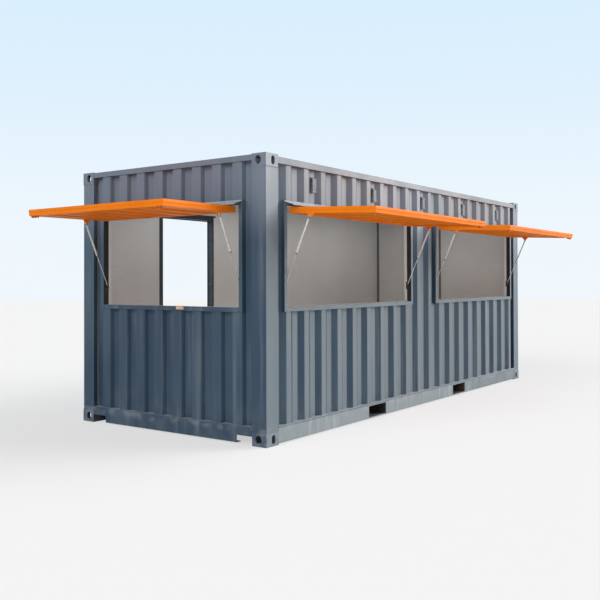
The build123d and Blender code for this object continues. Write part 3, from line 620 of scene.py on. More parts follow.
class Hatch:
    """One hatch: the frames of its opening and of its drooping flap, x along the hinge line, y outwards."""

    def __init__(self, name, lining):
        joints = {joint["name"]: joint for joint in frame["joints"]}
        hinge = joints[f"{name}_hinge"]
        low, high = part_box(f"{name}_frame")
        up = Vector((0, 0, 1))
        pivot = Vector(hinge["pos_m"])
        droop = radians(90 - hinge["range_deg"][1])
        self.name = name
        self.flap_body = f"{name}_flap"
        self.along = -Vector(hinge["axis"])
        self.out = up.cross(self.along)
        self.flap_up = up * cos(droop) + self.out * sin(droop)
        self.flap_out = self.flap_up.cross(self.along)
        self.opening = axes(pivot, self.along, self.out)
        self.flap = axes(pivot, self.along, self.flap_out)
        self.half_clear = abs((high - low).dot(self.along)) / 2 - hatch_bar
        self.half_flap = self.half_clear - flap_edge_gap
        self.clear_height = pivot.z - low.z - hatch_bar
        self.head = high.z - hatch_bar - pivot.z
        self.flap_length = self.clear_height - flap_sill_gap
        self.lining_depth = min((pivot - corner).dot(self.out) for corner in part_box(lining))
        self.strut_top = Vector(joints[f"{name}_strut_pivot"]["pos_m"])
        self.strut_rise = Vector(joints[f"{name}_strut_stroke"]["axis"])


hatches = [Hatch("serving_hatch_near", "serving_lining"), Hatch("serving_hatch_far", "serving_lining"),
           Hatch("end_hatch", "end_lining")]


# Pressed sheets

def fold_line(stop, first, outer, slope, inner, depth):
    """Folds of a sheet from -stop to stop: places along it and depths behind its crests."""
    points = [(-stop, depth)]
    crest = first - stop
    while crest - slope < stop:
        points += [(crest - slope, depth), (crest, 0), (crest + outer, 0), (crest + outer + slope, depth)]
        crest += outer + inner + 2 * slope
    return points + [(crest - slope, depth)]


def level_at(folds, place):
    """Depth of a fold line at a place along it."""
    for (start, low), (stop, high) in zip(folds, folds[1:]):
        if start <= place <= stop and stop > start:
            return low + (high - low) * (place - start) / (stop - start)
    return folds[-1][1]


def stretch(folds, start, stop):
    """The part of a fold line between two places."""
    inside = [fold for fold in folds if start < fold[0] < stop]
    return [(start, level_at(folds, start)), *inside, (stop, level_at(folds, stop))]


Wall = namedtuple("Wall", "folds origin along inward fold_radius")
ahead = Vector((1, 0, 0))
leftward = Vector((0, 1, 0))
upward = Vector((0, 0, 1))
serving_low, serving_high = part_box("serving_wall_base")
end_low, end_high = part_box("end_wall_base")
back_face = Vector((0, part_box("back_wall_panels")[1].y, 0))
post_x = serving_high.x
post_y = end_high.y
side_line = fold_line(post_x, **side_folds)
end_line = fold_line(post_y, **end_folds)
serving_wall = Wall(side_line, Vector((0, serving_low.y, 0)), ahead, leftward, side_fold_radius)
back_wall = Wall(side_line, back_face, ahead, -leftward, side_fold_radius)
end_wall = Wall(end_line, Vector((end_low.x, 0, 0)), -leftward, ahead, end_fold_radius)


def wall_points(wall, start, stop, level):
    """Points of a wall's fold line between two places, at one height."""
    return [wall.origin + wall.along * place + wall.inward * depth + upward * level
            for place, depth in stretch(wall.folds, start, stop)]


def pressed_sheet(name, lines, fold_radius, height, through, body, slot):
    """A sheet grown from its fold lines."""
    settings = {"Fold radius": fold_radius, "Fold steps": fold_steps, "Height": height, "Thickness": through,
                "Finish": finishes[slot]}
    return grown_piece(name, lines_mesh(name, lines), trees["pressed_sheet"], settings, body)


def wall_sheet(node, wall, spans):
    """A pressed wall sheet in place of its node, over one or more spans along the wall."""
    low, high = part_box(node)
    lines = [wall_points(wall, start, stop, low.z) for start, stop in spans]
    piece = pressed_sheet(f"{node}_sheet", lines, wall.fold_radius, upward * (high.z - low.z),
                          wall.inward * sheet_thickness, "container", "slate_paint")
    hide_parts(node)


def wall_sheets():
    """All the pressed sheets of the serving side, the hatch end and the back."""
    near, far, end = [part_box(f"{hatch.name}_frame") for hatch in hatches]
    door_low, door_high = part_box("door_frame")
    wall_sheet("serving_wall_base", serving_wall, [(-post_x, post_x)])
    wall_sheet("serving_wall_top", serving_wall, [(-post_x, post_x)])
    wall_sheet("serving_wall_piers", serving_wall,
               [(-post_x, near[0].x), (near[1].x, far[0].x), (far[1].x, post_x)])
    wall_sheet("end_wall_base", end_wall, [(-post_y, post_y)])
    wall_sheet("end_wall_top", end_wall, [(-post_y, post_y)])
    wall_sheet("end_wall_piers", end_wall, [(-post_y, end[0].y), (end[1].y, post_y)])
    wall_sheet("back_wall_panels", back_wall, [(-post_x, door_low.x), (door_high.x, post_x)])
    wall_sheet("back_wall_over_door", back_wall, [(door_low.x, door_high.x)])


def flap_infill(hatch):
    """The pressed sheet in a flap, cut from the wall that its opening left."""
    wall = end_wall if hatch.name == "end_hatch" else serving_wall
    middle = (hatch.opening.translation - wall.origin).dot(wall.along)
    half = hatch.half_flap - flap_bar
    line = [hatch.flap @ Vector((middle - place, flap_bar, -hinge_offset - flap_sheet_inset - depth))
            for place, depth in stretch(wall.folds, middle - half, middle + half)]
    piece = pressed_sheet(f"{hatch.name}_flap_sheet", [line], wall.fold_radius,
                          hatch.flap_out * (hatch.flap_length - 2 * flap_bar),
                          hatch.flap_up * -sheet_thickness, hatch.flap_body, "orange_paint")
    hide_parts(f"{hatch.name}_flap_infill")


# Eased edges on the heavy members

def eased_member(name, body, width):
    """A copy of a solid with its arrises rounded, as rolled and cast steel has, in place of the solid."""
    solid = frame["nodes"][name].data
    shape = bmesh.new()
    shape.from_mesh(solid)
    piece = finish_piece(f"{name}_eased", shape, solid.materials[0], body, width,
                         outwards=False)
    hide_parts(name)


def ease_members():
    """Rounded arrises on castings, posts, rails, frames and fittings."""
    roundings = {"bottom_castings": 0.005, "top_castings": 0.005, "corner_posts": 0.0025,
                 "top_side_rails": 0.0018, "end_headers": 0.0018, "end_sills": 0.0025,
                 "bottom_side_rails": 0.002, "door_frame": 0.0015, "vents": 0.0012, "sill_keeper": 0.0015}
    frame_rounding = 0.0012
    flap_rounding = 0.0035
    for name, rounding in roundings.items():
        eased_member(name, "container", rounding)
    for hatch in hatches:
        eased_member(f"{hatch.name}_frame", "container", frame_rounding)
        eased_member(f"{hatch.name}_flap_frame", hatch.flap_body, flap_rounding)


# Seals and trims

def jamb_seals(hatch):
    """Black rubber strips down both jambs of an opening, with two shallow grooves along each."""
    outer_gap = 0.003
    lining_lap = 0.004
    seal_start = hinge_offset + outer_gap
    seal_stop = hatch.lining_depth + lining_lap
    strip = 0.0025
    groove = 0.0012
    groove_half = 0.003
    groove_shares = (0.35, 0.7)
    shape = bmesh.new()
    outline = [(0, seal_start), (strip, seal_start)]
    for share in groove_shares:
        middle = seal_start + share * (seal_stop - seal_start)
        outline += [(strip, middle - groove_half), (groove, middle), (strip, middle + groove_half)]
    outline += [(strip, seal_stop), (0, seal_stop)]
    for side in (-1, 1):
        foot = hatch.opening @ Vector((side * hatch.half_clear, 0, -hatch.clear_height))
        place = axes(foot, hatch.along * -side, -hatch.out)
        add_prism(shape, outline, 0, side * (hatch.clear_height + hatch.head), place)
    finish_piece(f"{hatch.name}_jamb_seals", shape, rubber, "container", bevel=0.0004)


def lining_trims():
    """Cover strips over the joints of the back lining and on one door jamb, and coves along the ceiling."""
    board_width = 1.2
    first_joint = 1.98
    joint_count = 5
    strip_half = 0.013
    strip = 0.0025
    cove = 0.025
    cover = 0.040
    floor_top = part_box("floor_deck")[1].z
    low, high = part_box("back_lining")
    serving_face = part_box("serving_lining")[1].y
    door_low, door_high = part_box("door_frame")
    shape = bmesh.new()
    outline = [(-strip_half, 0), (strip_half, 0), (strip_half - strip, strip), (strip - strip_half, strip)]
    for index in range(joint_count):
        joint = first_joint - index * board_width
        if low.x <= joint and not door_low.x < joint < door_high.x:
            place = axes((joint, low.y, floor_top), ahead, -leftward)
            add_prism(shape, outline, 0, floor_top - high.z, place)
    outline = [(0, 0), (cove, 0), (cove * 0.45, cove * 0.25), (cove * 0.25, cove * 0.45), (0, cove)]
    for face, inward in ((low.y, -1), (serving_face, 1)):
        place = axes((low.x, face, high.z), leftward * inward, -upward)
        add_prism(shape, outline, 0, -inward * (high.x - low.x), place)
    cover_height = door_high.z - door_bar + cover - floor_top
    outline = [(-cover, 0), (0, 0), (-strip / 2, strip), (strip / 2 - cover, strip)]
    add_prism(shape, outline, 0, -cover_height, axes((door_high.x, low.y, floor_top), ahead, -leftward))
    finish_piece("lining_trims", shape, finishes["lining_board"], "container", bevel=0.0006)


def rail_ledges():
    """A thin ledge along the top edge of each bottom side rail."""
    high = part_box("bottom_side_rails")[1]
    ledge = 0.005
    drop = 0.008
    lift = 0.0005
    shape = bmesh.new()
    outline = [(-ledge, lift), (ledge * 0.6, lift), (ledge, -drop * 0.4), (ledge, -drop), (-ledge, -drop)]
    for side in (-1, 1):
        place = axes((-post_x, side * high.y, high.z), leftward * side, upward)
        add_prism(shape, outline, 0, side * 2 * post_x, place)
    finish_piece("rail_ledges", shape, finishes["slate_paint"], "container", bevel=0.0006)


def cargo_seals():
    """Seams of the cargo doors: grey strips inside, black gaskets round the leaves outside."""
    inner_low, inner_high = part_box("cargo_door_linings")
    leaf_low, leaf_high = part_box("cargo_doors")
    face_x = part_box("lock_rods")[0].x
    floor_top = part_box("floor_deck")[1].z
    header_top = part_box("end_headers")[1].z
    centre_half = 0.018
    edge_width = 0.036
    strip = 0.005
    shape = bmesh.new()
    for start, stop in ((-centre_half, centre_half), (inner_low.y, inner_low.y + edge_width),
                        (inner_high.y - edge_width, inner_high.y)):
        place = axes((inner_low.x, 0, inner_low.z), leftward, -ahead)
        outline = [(start, 0), (stop, 0), (stop - strip / 2, strip), (start + strip / 2, strip)]
        add_prism(shape, outline, 0, inner_high.z - inner_low.z, place)
    finish_piece("cargo_door_seams", shape, seam_grey, "container", bevel=0.0006)
    shape = bmesh.new()
    post_lap = 0.024
    lip_width = 0.005
    leaf_side = leaf_high.y - post_lap
    outline = [(-0.020, 0.001), (-0.002, 0.001), (0.004, -0.012), (0.006, -0.011), (0.001, 0.006),
               (-0.004, 0.010), (-0.020, 0.010)]
    for side in (-1, 1):
        place = axes((face_x, side * leaf_side, leaf_low.z), ahead, leftward * side)
        add_prism(shape, outline, 0, side * (leaf_high.z - leaf_low.z), place)
    for level, direction, room in ((leaf_low.z, -1, leaf_low.z - floor_top),
                                   (leaf_high.z, 1, header_top - leaf_high.z)):
        reach = min(room, lip_width)
        place = axes((face_x, -leaf_side, level), upward * direction, ahead)
        outline = [(-0.010, 0.0005), (-0.010, 0.005), (0.001, 0.004), (reach, -0.004), (reach, -0.012),
                   (0.0005, -0.012), (0.0005, 0.0005)]
        add_prism(shape, outline, 0, direction * 2 * leaf_side, place)
    finish_piece("cargo_door_gaskets", shape, rubber, "container", bevel=0.0006)


def door_seal():
    """A black rubber seal round the outer edge of the doorway."""
    low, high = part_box("door_frame")
    floor_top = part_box("floor_deck")[1].z
    left, right, head = low.x + door_bar, high.x - door_bar, high.z - door_bar
    outline = [(0, 0.002), (0.004, 0.002), (0.010, 0.006), (0.010, 0.010), (0.004, 0.012), (0, 0.012)]
    shape = bmesh.new()
    for edge, inward in ((left, 1), (right, -1)):
        place = axes((edge, high.y, floor_top), ahead * inward, -leftward)
        add_prism(shape, outline, 0, -inward * (head - floor_top), place)
    add_prism(shape, outline, 0, right - left, axes((right, high.y, head), -upward, -leftward))
    finish_piece("doorway_seal", shape, rubber, "container", bevel=0.0006)


# Fittings of the hatches

def flap_latches(hatch):
    """A slide bolt at each free corner of a flap: painted plate and guides, bare bolt and knob."""
    plate_half = 0.017
    bolt_radius = 0.006
    bolt_overhang = 0.003
    guide_length = 0.014
    guide_half = 0.010
    guide_roof = 0.003
    guide_shares = (-0.75, 0.05, 0.75)
    knob_share = 0.4
    guides_low = -latch_plate - 2 * bolt_radius - guide_roof
    shape = bmesh.new()
    bolts = bmesh.new()
    for side in (-1, 1):
        centre = Vector((side * (hatch.half_flap - latch_half - latch_edge_gap),
                         hatch.flap_length - flap_bar / 2, -hinge_offset - flap_thickness))
        place = hatch.flap @ Matrix.Translation(centre)
        add_block(shape, (-latch_half, -plate_half, -latch_plate), (latch_half, plate_half, 0), place)
        for share in guide_shares:
            middle = share * latch_half
            add_block(shape, (middle - guide_length / 2, -guide_half, guides_low),
                      (middle + guide_length / 2, guide_half, -latch_plate), place)
        bolt = place @ Matrix.Translation((-latch_half, 0, -latch_plate - bolt_radius))
        add_pin(bolts, bolt_radius, 2 * latch_half + bolt_overhang, chamfer=0.0015,
                place=bolt @ Matrix.Rotation(radians(90), 4, "Y"))
        knob = place @ Matrix.Translation((knob_share * latch_half, 0, -latch_plate - bolt_radius))
        add_pin(bolts, radius=0.004, length=0.024, chamfer=0.001,
                place=knob @ Matrix.Rotation(radians(90), 4, "X"), segments=14)
    finish_piece(f"{hatch.name}_latches", shape, finishes["orange_paint"], hatch.flap_body,
                 bevel=0.0008)
    finish_piece(f"{hatch.name}_latch_bolts", bolts, latch_steel, hatch.flap_body)


def flap_lips(hatch):
    """A raised lip round the upper half of a flap's free edges, undercut to shed rain."""
    lip = 0.0035
    lip_depth = 0.027
    rounding = 0.005
    undercut = 0.002
    top = -hinge_offset
    shape = bmesh.new()
    outline = [(0, top - rounding / 2), (lip * 0.6, top - rounding / 2), (lip, top - rounding),
               (lip, top - lip_depth), (lip * 0.4, top - lip_depth - undercut),
               (0, top - lip_depth - undercut)]
    start = flap_bar / 2
    half = hatch.half_flap
    corners = [(-half, start), (-half, hatch.flap_length), (half, hatch.flap_length), (half, start)]
    leans = [(-1, 0), (-1, 1), (1, 1), (1, 0)]
    rings = [[shape.verts.new(hatch.flap @ Vector((x + reach * lean_x, y + reach * lean_y, z)))
              for reach, z in outline] for (x, y), (lean_x, lean_y) in zip(corners, leans)]
    for ring, following in zip(rings, rings[1:]):
        add_skin(shape, ring, following)
    for ring in (rings[0], rings[-1]):
        shape.faces.new(ring)
    finish_piece(f"{hatch.name}_flap_lips", shape, finishes["orange_paint"], hatch.flap_body,
                 bevel=0.0008)


def strut_fittings(hatch):
    """Glands and collars on the strut tubes, nuts and end caps on the rods, and clips on the upper pins."""
    eye_radius = 0.010
    tube_radius = 0.009
    nut_reach = 0.020
    boss_shift = 0.0058
    end_nut_shift = 0.0115
    clip_shift = 0.005
    gland = [(0.0046, -0.002), (0.0098, -0.002), (0.0102, 0.0), (0.0102, 0.010), (0.0085, 0.014),
             (0.0046, 0.014)]
    collar = [(0.0, 0.006), (0.0075, 0.006), (0.0095, 0.010), (0.0095, 0.022), (0.0070, 0.026), (0.0, 0.026)]
    nut = [(0.0, 0.0), (0.0065, 0.0), (0.0075, 0.001), (0.0075, 0.006), (0.0065, 0.007), (0.0, 0.007)]
    clip = [(0.0, -0.0002), (0.0078, -0.0002), (0.0078, 0.0010), (0.0060, 0.0018), (0.0, 0.0018)]
    tube_low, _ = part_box(f"{hatch.name}_strut_tubes")
    rod_low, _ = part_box(f"{hatch.name}_strut_rods")
    top = hatch.strut_top
    rise = hatch.strut_rise.normalized()
    across = rise.cross(hatch.along)
    foot_reach = (top.z - rod_low.z - eye_radius) / rise.z
    tube_length = (top.z - tube_low.z - tube_radius * (1 - rise.z ** 2) ** 0.5) / rise.z
    glands = bmesh.new()
    rod_ends = bmesh.new()
    clips = bmesh.new()
    for side in (-1, 1):
        outward = hatch.along * side
        to_jamb = (across, rise) if side > 0 else (rise, across)
        pivot = top + outward * (hatch.half_clear - strut_inset)
        foot = pivot - rise * foot_reach
        down = axes(pivot, hatch.along, -across)
        add_turned(glands, gland, down @ Matrix.Translation((0, 0, tube_length)))
        add_turned(glands, collar, down)
        nut_place = down @ Matrix.Translation((0, 0, foot_reach - nut_reach))
        add_turned(rod_ends, nut, nut_place, segments=6)
        add_pin(rod_ends, radius=0.0112, length=0.0116, chamfer=0.0015,
                place=axes(foot - outward * boss_shift, *to_jamb))
        add_pin(rod_ends, radius=0.0085, length=0.0060, chamfer=0.0010,
                place=axes(foot - outward * end_nut_shift, *to_jamb), segments=6)
        add_turned(clips, clip, axes(pivot + outward * clip_shift, *to_jamb))
    finish_piece(f"{hatch.name}_strut_glands", glands, seam_grey, f"{hatch.name}_tubes")
    finish_piece(f"{hatch.name}_rod_ends", rod_ends, black_coat, f"{hatch.name}_rods")
    finish_piece(f"{hatch.name}_pin_clips", clips, latch_steel, hatch.flap_body)


# Fittings of the cargo doors

def lock_fittings():
    """Cams at both ends of the lock rods, and keeper plates on the frame behind them."""
    low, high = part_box("lock_rods")
    frame_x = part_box("end_headers")[1].x
    end_gap = 0.004
    cam_half = 0.030
    cam_height = 0.046
    keeper_half = 0.042
    keeper_height = 0.044
    keeper_sink = 0.004
    keeper_proud = 0.0025
    cam_outline = [(-0.021, -0.012), (-0.006, -cam_half), (0.012, -cam_half), (0.021, -0.014),
                   (0.021, 0.014), (0.012, cam_half), (-0.006, cam_half), (-0.021, 0.012)]
    shape = bmesh.new()
    for side, place in product((-1, 1), lock_rod_places):
        for end, direction in ((low.z, 1), (high.z, -1)):
            cam = axes((low.x + lock_rod_offset, side * place, end), ahead, leftward)
            add_prism(shape, cam_outline, direction * end_gap, direction * (end_gap + cam_height), cam)
            keeper = axes((frame_x, side * place, end), leftward, upward)
            start, stop = -direction * end_gap, -direction * keeper_height
            outline = [(-keeper_half, start), (keeper_half, start), (keeper_half * 0.7, stop),
                       (-keeper_half * 0.7, stop)]
            add_prism(shape, outline, -keeper_sink, keeper_proud, keeper)
    finish_piece("lock_rod_cams", shape, finishes["zinc_steel"], "container", bevel=0.0012)


def handle_catches():
    """A catch under the free end of each lock rod handle, with a hasp over it."""
    leaf_low, leaf_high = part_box("cargo_doors")
    face_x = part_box("lock_rods")[0].x
    catch_places = (0.472, 0.592)
    rod_front = 0.012
    front = face_x + lock_rod_offset + rod_front
    level = leaf_low.z + handle_share * (leaf_high.z - leaf_low.z)
    steel = 0.004
    plate = (face_x, face_x + steel, 0.022, -0.048, 0.048)
    shelf = (face_x, front, 0.018, -0.026, -0.021)
    shelf_lip = (front - steel, front, 0.018, -0.026, -0.006)
    hasp = (face_x, front, 0.012, 0.021, 0.025)
    hasp_lip = (front - steel, front, 0.012, 0.002, 0.025)
    shape = bmesh.new()
    for side, place in product((-1, 1), catch_places):
        catch = Matrix.Translation((0, side * place, level))
        for back, face, half, low, high in (plate, shelf, shelf_lip, hasp, hasp_lip):
            add_block(shape, (back, -half, low), (face, half, high), catch)
    finish_piece("handle_catches", shape, finishes["zinc_steel"], "container", bevel=0.0008)


# Fasteners and welds

def container_screws():
    """Screws in the flashings, hinges, vents, keeper and doorway, and bolts in the strut brackets."""
    flashing_screws = 9
    flashing_inset = 0.05
    flashing_drop = 0.0045
    flashing_sheet = 0.003
    hinge_leaf = 0.004
    hinge_level = 0.020
    knuckle_gap = 0.001
    bracket_plate = 0.004
    keeper_shares = (0.15, 0.85)
    door_screw_levels = (0.42, 0.92, 1.42, 1.92)
    screws = []
    bolts = []
    bracket_low, bracket_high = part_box("strut_brackets")
    for hatch in hatches:
        run = hatch.half_clear + hatch_bar - flashing_inset
        level = hatch.head + hatch_bar - flashing_drop
        spots = [(run * (2 * index / (flashing_screws - 1) - 1), flashing_sheet - hinge_offset, level)
                 for index in range(flashing_screws)]
        for share, shift in product(hinge_place_shares, (-0.011, 0.011)):
            middle = share * hatch.half_flap + knuckle_length + knuckle_gap
            spots.append((middle + shift, hinge_leaf - hinge_offset, hinge_level))
        screws += [(hatch.opening @ Vector(spot), hatch.out) for spot in spots]
        bracket_drop = hatch.opening.translation.z - (bracket_low.z + bracket_high.z) / 2
        for side, shift in product((-1, 1), (-0.028, 0.028)):
            spot = Vector((side * (hatch.half_clear - bracket_plate), -strut_depth, shift - bracket_drop))
            bolts.append((hatch.opening @ spot, hatch.along * -side))
    vent_low, vent_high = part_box("vents")
    vents_per_side = 5
    vent_half = 0.030
    vent_pitch = (vent_high.x - vent_low.x - 2 * vent_half) / (vents_per_side - 1)
    vent_screws = product((-1, 1), range(vents_per_side), (-0.022, 0.022), (0.008, 0.118))
    for side, index, shift, level in vent_screws:
        place = vent_low.x + vent_half + index * vent_pitch + shift
        screws.append((Vector((place, side * vent_high.y, vent_low.z + level)), leftward * side))
    keeper_low, keeper_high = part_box("sill_keeper")
    for share in keeper_shares:
        place = keeper_low.y + share * (keeper_high.y - keeper_low.y)
        screws.append((Vector((keeper_low.x, place, (keeper_low.z + keeper_high.z) / 2)), -ahead))
    door_low, door_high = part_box("door_frame")
    for level in door_screw_levels:
        for edge, inward in ((door_low.x + door_bar, 1), (door_high.x - door_bar, -1)):
            screws.append((Vector((edge, (door_low.y + door_high.y) / 2, level)), ahead * inward))
    fasteners("container_screws", screws, "container", finishes["zinc_steel"],
              head_radius=0.0036, head_height=0.0022, washer_radius=0.0046)
    fasteners("strut_bracket_bolts", bolts, "container", black_coat,
              head_radius=0.0050, head_height=0.0030, washer_radius=0.0065, sides=6)


def floor_screws():
    """Countersunk screws that hold the floor boards to the cross members."""
    low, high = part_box("floor_deck")
    pitch = 0.305
    rows = 18
    per_row = 9
    edge_margin = 0.15
    step = (high.y - low.y - 2 * edge_margin) / (per_row - 1)
    spots = [(Vector(((row - (rows - 1) / 2) * pitch, (index - (per_row - 1) / 2) * step, high.z)), upward)
             for row, index in product(range(rows), range(per_row))]
    fasteners("floor_screws", spots, "container", finishes["zinc_steel"],
              head_radius=0.0045, head_height=0.0008, washer_radius=0.0050)


def cargo_bolts():
    """Bolts through the lock rod brackets and the door hinges."""
    face_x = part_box("lock_rods")[0].x
    leaf_low, leaf_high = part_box("cargo_doors")
    leaf_height = leaf_high.z - leaf_low.z
    rod_bracket_shares = (0.06, 0.5, 0.94)
    door_hinge_shares = (0.08, 0.36, 0.64, 0.92)
    bracket_plate = 0.008
    hinge_leaf = 0.010
    spots = []
    for side in (-1, 1):
        for place, share, shift in product(lock_rod_places, rod_bracket_shares, (-0.034, 0.034)):
            level = leaf_low.z + share * leaf_height
            spots.append((Vector((face_x + bracket_plate, side * place + shift, level)), ahead))
        for share, place, shift in product(door_hinge_shares, (0.950, 0.985), (-0.020, 0.020)):
            level = leaf_low.z + share * leaf_height + shift
            spots.append((Vector((face_x + hinge_leaf, side * place, level)), ahead))
    fasteners("cargo_door_bolts", spots, "container", finishes["zinc_steel"],
              head_radius=0.0075, head_height=0.0055, washer_radius=0.0105, sides=6)


def flap_screws(hatch):
    """Screws in the latches and hinge straps of a flap."""
    hinge_strap = 0.004
    strap_middle = 0.020
    latch_middle = hatch.half_flap - latch_half - latch_edge_gap
    latch_line = hatch.flap_length - flap_bar / 2
    latch_level = -hinge_offset - flap_thickness - latch_plate
    spots = []
    for side, along, across in product((-1, 1), (-0.045, 0.045), (-0.0125, 0.0125)):
        spot = Vector((side * latch_middle + along, latch_line + across, latch_level))
        spots.append((hatch.flap @ spot, -hatch.flap_up))
    for share, shift in product(hinge_place_shares, (-0.012, 0.012)):
        spot = Vector((share * hatch.half_flap + shift, strap_middle, hinge_strap - hinge_offset))
        spots.append((hatch.flap @ spot, hatch.flap_up))
    fasteners(f"{hatch.name}_flap_screws", spots, hatch.flap_body, finishes["zinc_steel"],
              head_radius=0.0032, head_height=0.0018, washer_radius=0.0042)


def container_welds():
    """Weld beads: posts to castings, and sheets to rails along their folds."""
    post_low, post_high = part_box("corner_posts")
    rail_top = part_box("bottom_side_rails")[1].z
    top_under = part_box("top_side_rails")[0].z
    end_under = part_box("end_wall_top")[1].z
    door_low, door_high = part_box("door_frame")
    lines = []
    for x_side, y_side, level in product((-1, 1), (-1, 1), (post_low.z, post_high.z)):
        corner = Vector((x_side * post_high.x, y_side * post_high.y, level))
        lines.append([Vector((x_side * post_x, corner.y, level)), corner,
                      Vector((corner.x, y_side * post_y, level))])
    lines += [wall_points(serving_wall, -post_x, post_x, level) for level in (rail_top, top_under)]
    lines += [wall_points(back_wall, -post_x, door_low.x, rail_top),
              wall_points(back_wall, door_high.x, post_x, rail_top),
              wall_points(back_wall, -post_x, post_x, top_under)]
    lines += [wall_points(end_wall, -post_y, post_y, level) for level in (rail_top, end_under)]
    beads("container_welds", lines, "container", finishes["slate_paint"], radius=0.0042,
          step=0.014)


def flap_welds(hatch):
    """Stitch welds that hold the pressed sheet in a flap's frame."""
    stitch = 0.05
    stitches = 6
    weld_sink = 0.001
    level = -hinge_offset - flap_sheet_inset - weld_sink
    step = (hatch.flap_length - 2 * flap_bar - stitch) / (stitches - 1)
    lines = []
    for side, index in product((-1, 1), range(stitches)):
        inner = side * (hatch.half_flap - flap_bar)
        start = flap_bar + step * index
        lines.append([hatch.flap @ Vector((inner, place, level)) for place in (start, start + stitch)])
    beads(f"{hatch.name}_flap_welds", lines, hatch.flap_body, finishes["orange_paint"],
          radius=0.003)


# Stage, light and camera

camera_place = Vector((-8.555, -5.5605, 1.470))


def stage_floor():
    """A wide floor that keeps the shadow, pale to the eye and duller to the light that it sends back."""
    reach = 61.0
    sides = 128
    seen = (0.3, 0.3, 0.3)
    sent_back = (0.72, 0.72, 0.72)
    own_glow = 0.565
    turns = [radians(360 * side / sides) for side in range(sides)]
    rim = [Vector((camera_place.x + reach * cos(turn), camera_place.y + reach * sin(turn), 0))
           for turn in turns]
    mesh = bpy.data.meshes.new("stage_floor")
    mesh.from_pydata(rim, [], [range(sides)])
    material, tree, shader = new_material("stage_floor")
    to_eye = add_node(tree, "ShaderNodeLightPath").outputs["Is Camera Ray"]
    tree.links.new(mix_colour(tree, to_eye, sent_back, seen), shader.inputs["Base Color"])
    tree.links.new(times(tree, to_eye, own_glow), shader.inputs["Emission Strength"])
    shader.inputs["Emission Color"].default_value = (1, 1, 1, 1)
    shader.inputs["Roughness"].default_value = 0.95
    shader.inputs["Specular IOR Level"].default_value = 0.0
    mesh.materials.append(material)
    mesh_object("stage_floor", mesh)


def pale_sky():
    """A pale sky for the eye and for reflections, and an even soft light for the rest."""
    horizon, zenith = (0.87, 0.935, 0.985), (0.7, 0.86, 0.985)
    world = bpy.data.worlds.new("pale_sky")
    scene.world = world
    world.use_nodes = True
    tree = world.node_tree
    tree.nodes.clear()
    direction = add_node(tree, "ShaderNodeTexCoord")
    parts = add_node(tree, "ShaderNodeSeparateXYZ")
    tree.links.new(direction.outputs["Generated"], parts.inputs["Vector"])
    sky = mix_colour(tree, ramp(tree, parts.outputs["Z"], 0.0, 0.33), horizon, zenith)
    seen = add_node(tree, "ShaderNodeBackground")
    tree.links.new(sky, seen.inputs["Color"])
    lit = add_node(tree, "ShaderNodeBackground", Color=(0.9, 0.95, 1.0, 1), Strength=0.35)
    path = add_node(tree, "ShaderNodeLightPath")
    eye = math(tree, "MAXIMUM", path.outputs["Is Camera Ray"], path.outputs["Is Glossy Ray"])
    eye = math(tree, "MAXIMUM", eye, path.outputs["Is Transmission Ray"])
    blend = add_node(tree, "ShaderNodeMixShader")
    wire(tree, (eye, blend.inputs[0]), (lit.outputs[0], blend.inputs[1]), (seen.outputs[0], blend.inputs[2]))
    output = add_node(tree, "ShaderNodeOutputWorld")
    tree.links.new(blend.outputs[0], output.inputs["Surface"])


def soft_sun(name, towards, energy, angle, colour):
    """A broad soft sun that shines in one direction."""
    light = bpy.data.lights.new(name, "SUN")
    light.energy = energy
    light.angle = radians(angle)
    light.color = colour
    lamp = bpy.data.objects.new(name, light)
    lamp.rotation_euler = Vector(towards).to_track_quat("-Z", "Y").to_euler()
    scene.collection.objects.link(lamp)


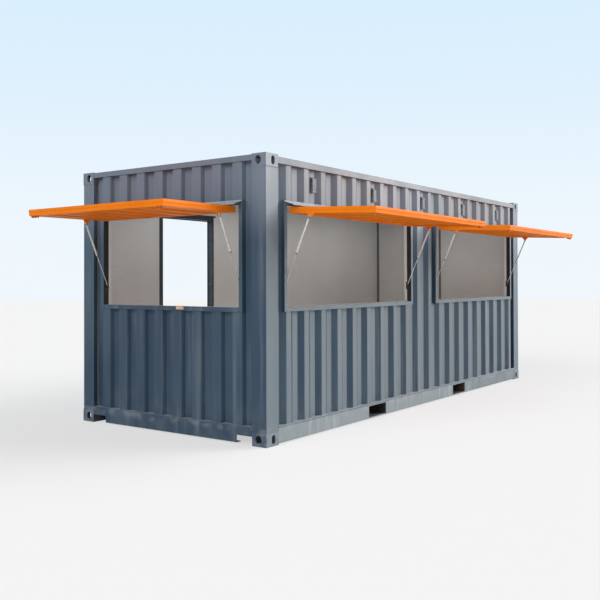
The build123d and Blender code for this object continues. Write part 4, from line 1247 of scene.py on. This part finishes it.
def cabin_light():
    """A soft light under the ceiling, so that the lining shows as it does through the hatches."""
    ceiling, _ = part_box("ceiling_lining")
    lamp_drop = 0.03
    light = bpy.data.lights.new("cabin_light", "AREA")
    light.shape = "RECTANGLE"
    light.size = 4.6
    light.size_y = 1.4
    light.energy = 14
    light.color = (1.0, 0.97, 0.93)
    lamp = bpy.data.objects.new("cabin_light", light)
    lamp.location = (0.0, 0.0, ceiling.z - lamp_drop)
    lamp.visible_camera = False
    lamp.visible_glossy = False
    scene.collection.objects.link(lamp)


def photo_camera():
    """The camera where the corners of the container put it."""
    picture = 600
    focal_length = 803.27
    centre_x, centre_y = 301.035, 271.216
    yaw, pitch, roll = radians(35.663), radians(0.603), radians(-0.161)
    view = Vector((cos(yaw) * cos(pitch), sin(yaw) * cos(pitch), sin(pitch)))
    right = Vector((sin(yaw), -cos(yaw), 0))
    up = right.cross(view)
    level_right = right * cos(roll) + up * sin(roll)
    level_up = up * cos(roll) - right * sin(roll)
    turn = Matrix((level_right, level_up, -view)).transposed().to_4x4()
    data = bpy.data.cameras.new("photo_camera")
    data.sensor_width = 36.0
    data.lens = focal_length / picture * data.sensor_width
    data.shift_x = (picture / 2 - centre_x) / picture
    data.shift_y = (centre_y - picture / 2) / picture
    camera = bpy.data.objects.new("photo_camera", data)
    camera.matrix_world = Matrix.Translation(camera_place) @ turn
    scene.collection.objects.link(camera)
    scene.camera = camera


wall_sheets()
ease_members()
lining_trims()
rail_ledges()
cargo_seals()
door_seal()
lock_fittings()
handle_catches()
container_screws()
floor_screws()
cargo_bolts()
container_welds()
for hatch in hatches:
    flap_infill(hatch)
    jamb_seals(hatch)
    flap_lips(hatch)
    flap_latches(hatch)
    strut_fittings(hatch)
    flap_screws(hatch)
    flap_welds(hatch)

stage_floor()
pale_sky()
soft_sun("key_light", towards=(-0.7, 0.54, -0.46), energy=3.8, angle=45, colour=(1.0, 0.975, 0.945))
soft_sun("fill_light", towards=(0.87, -0.02, -0.5), energy=1.75, angle=45, colour=(0.95, 0.98, 1.0))
cabin_light()
photo_camera()
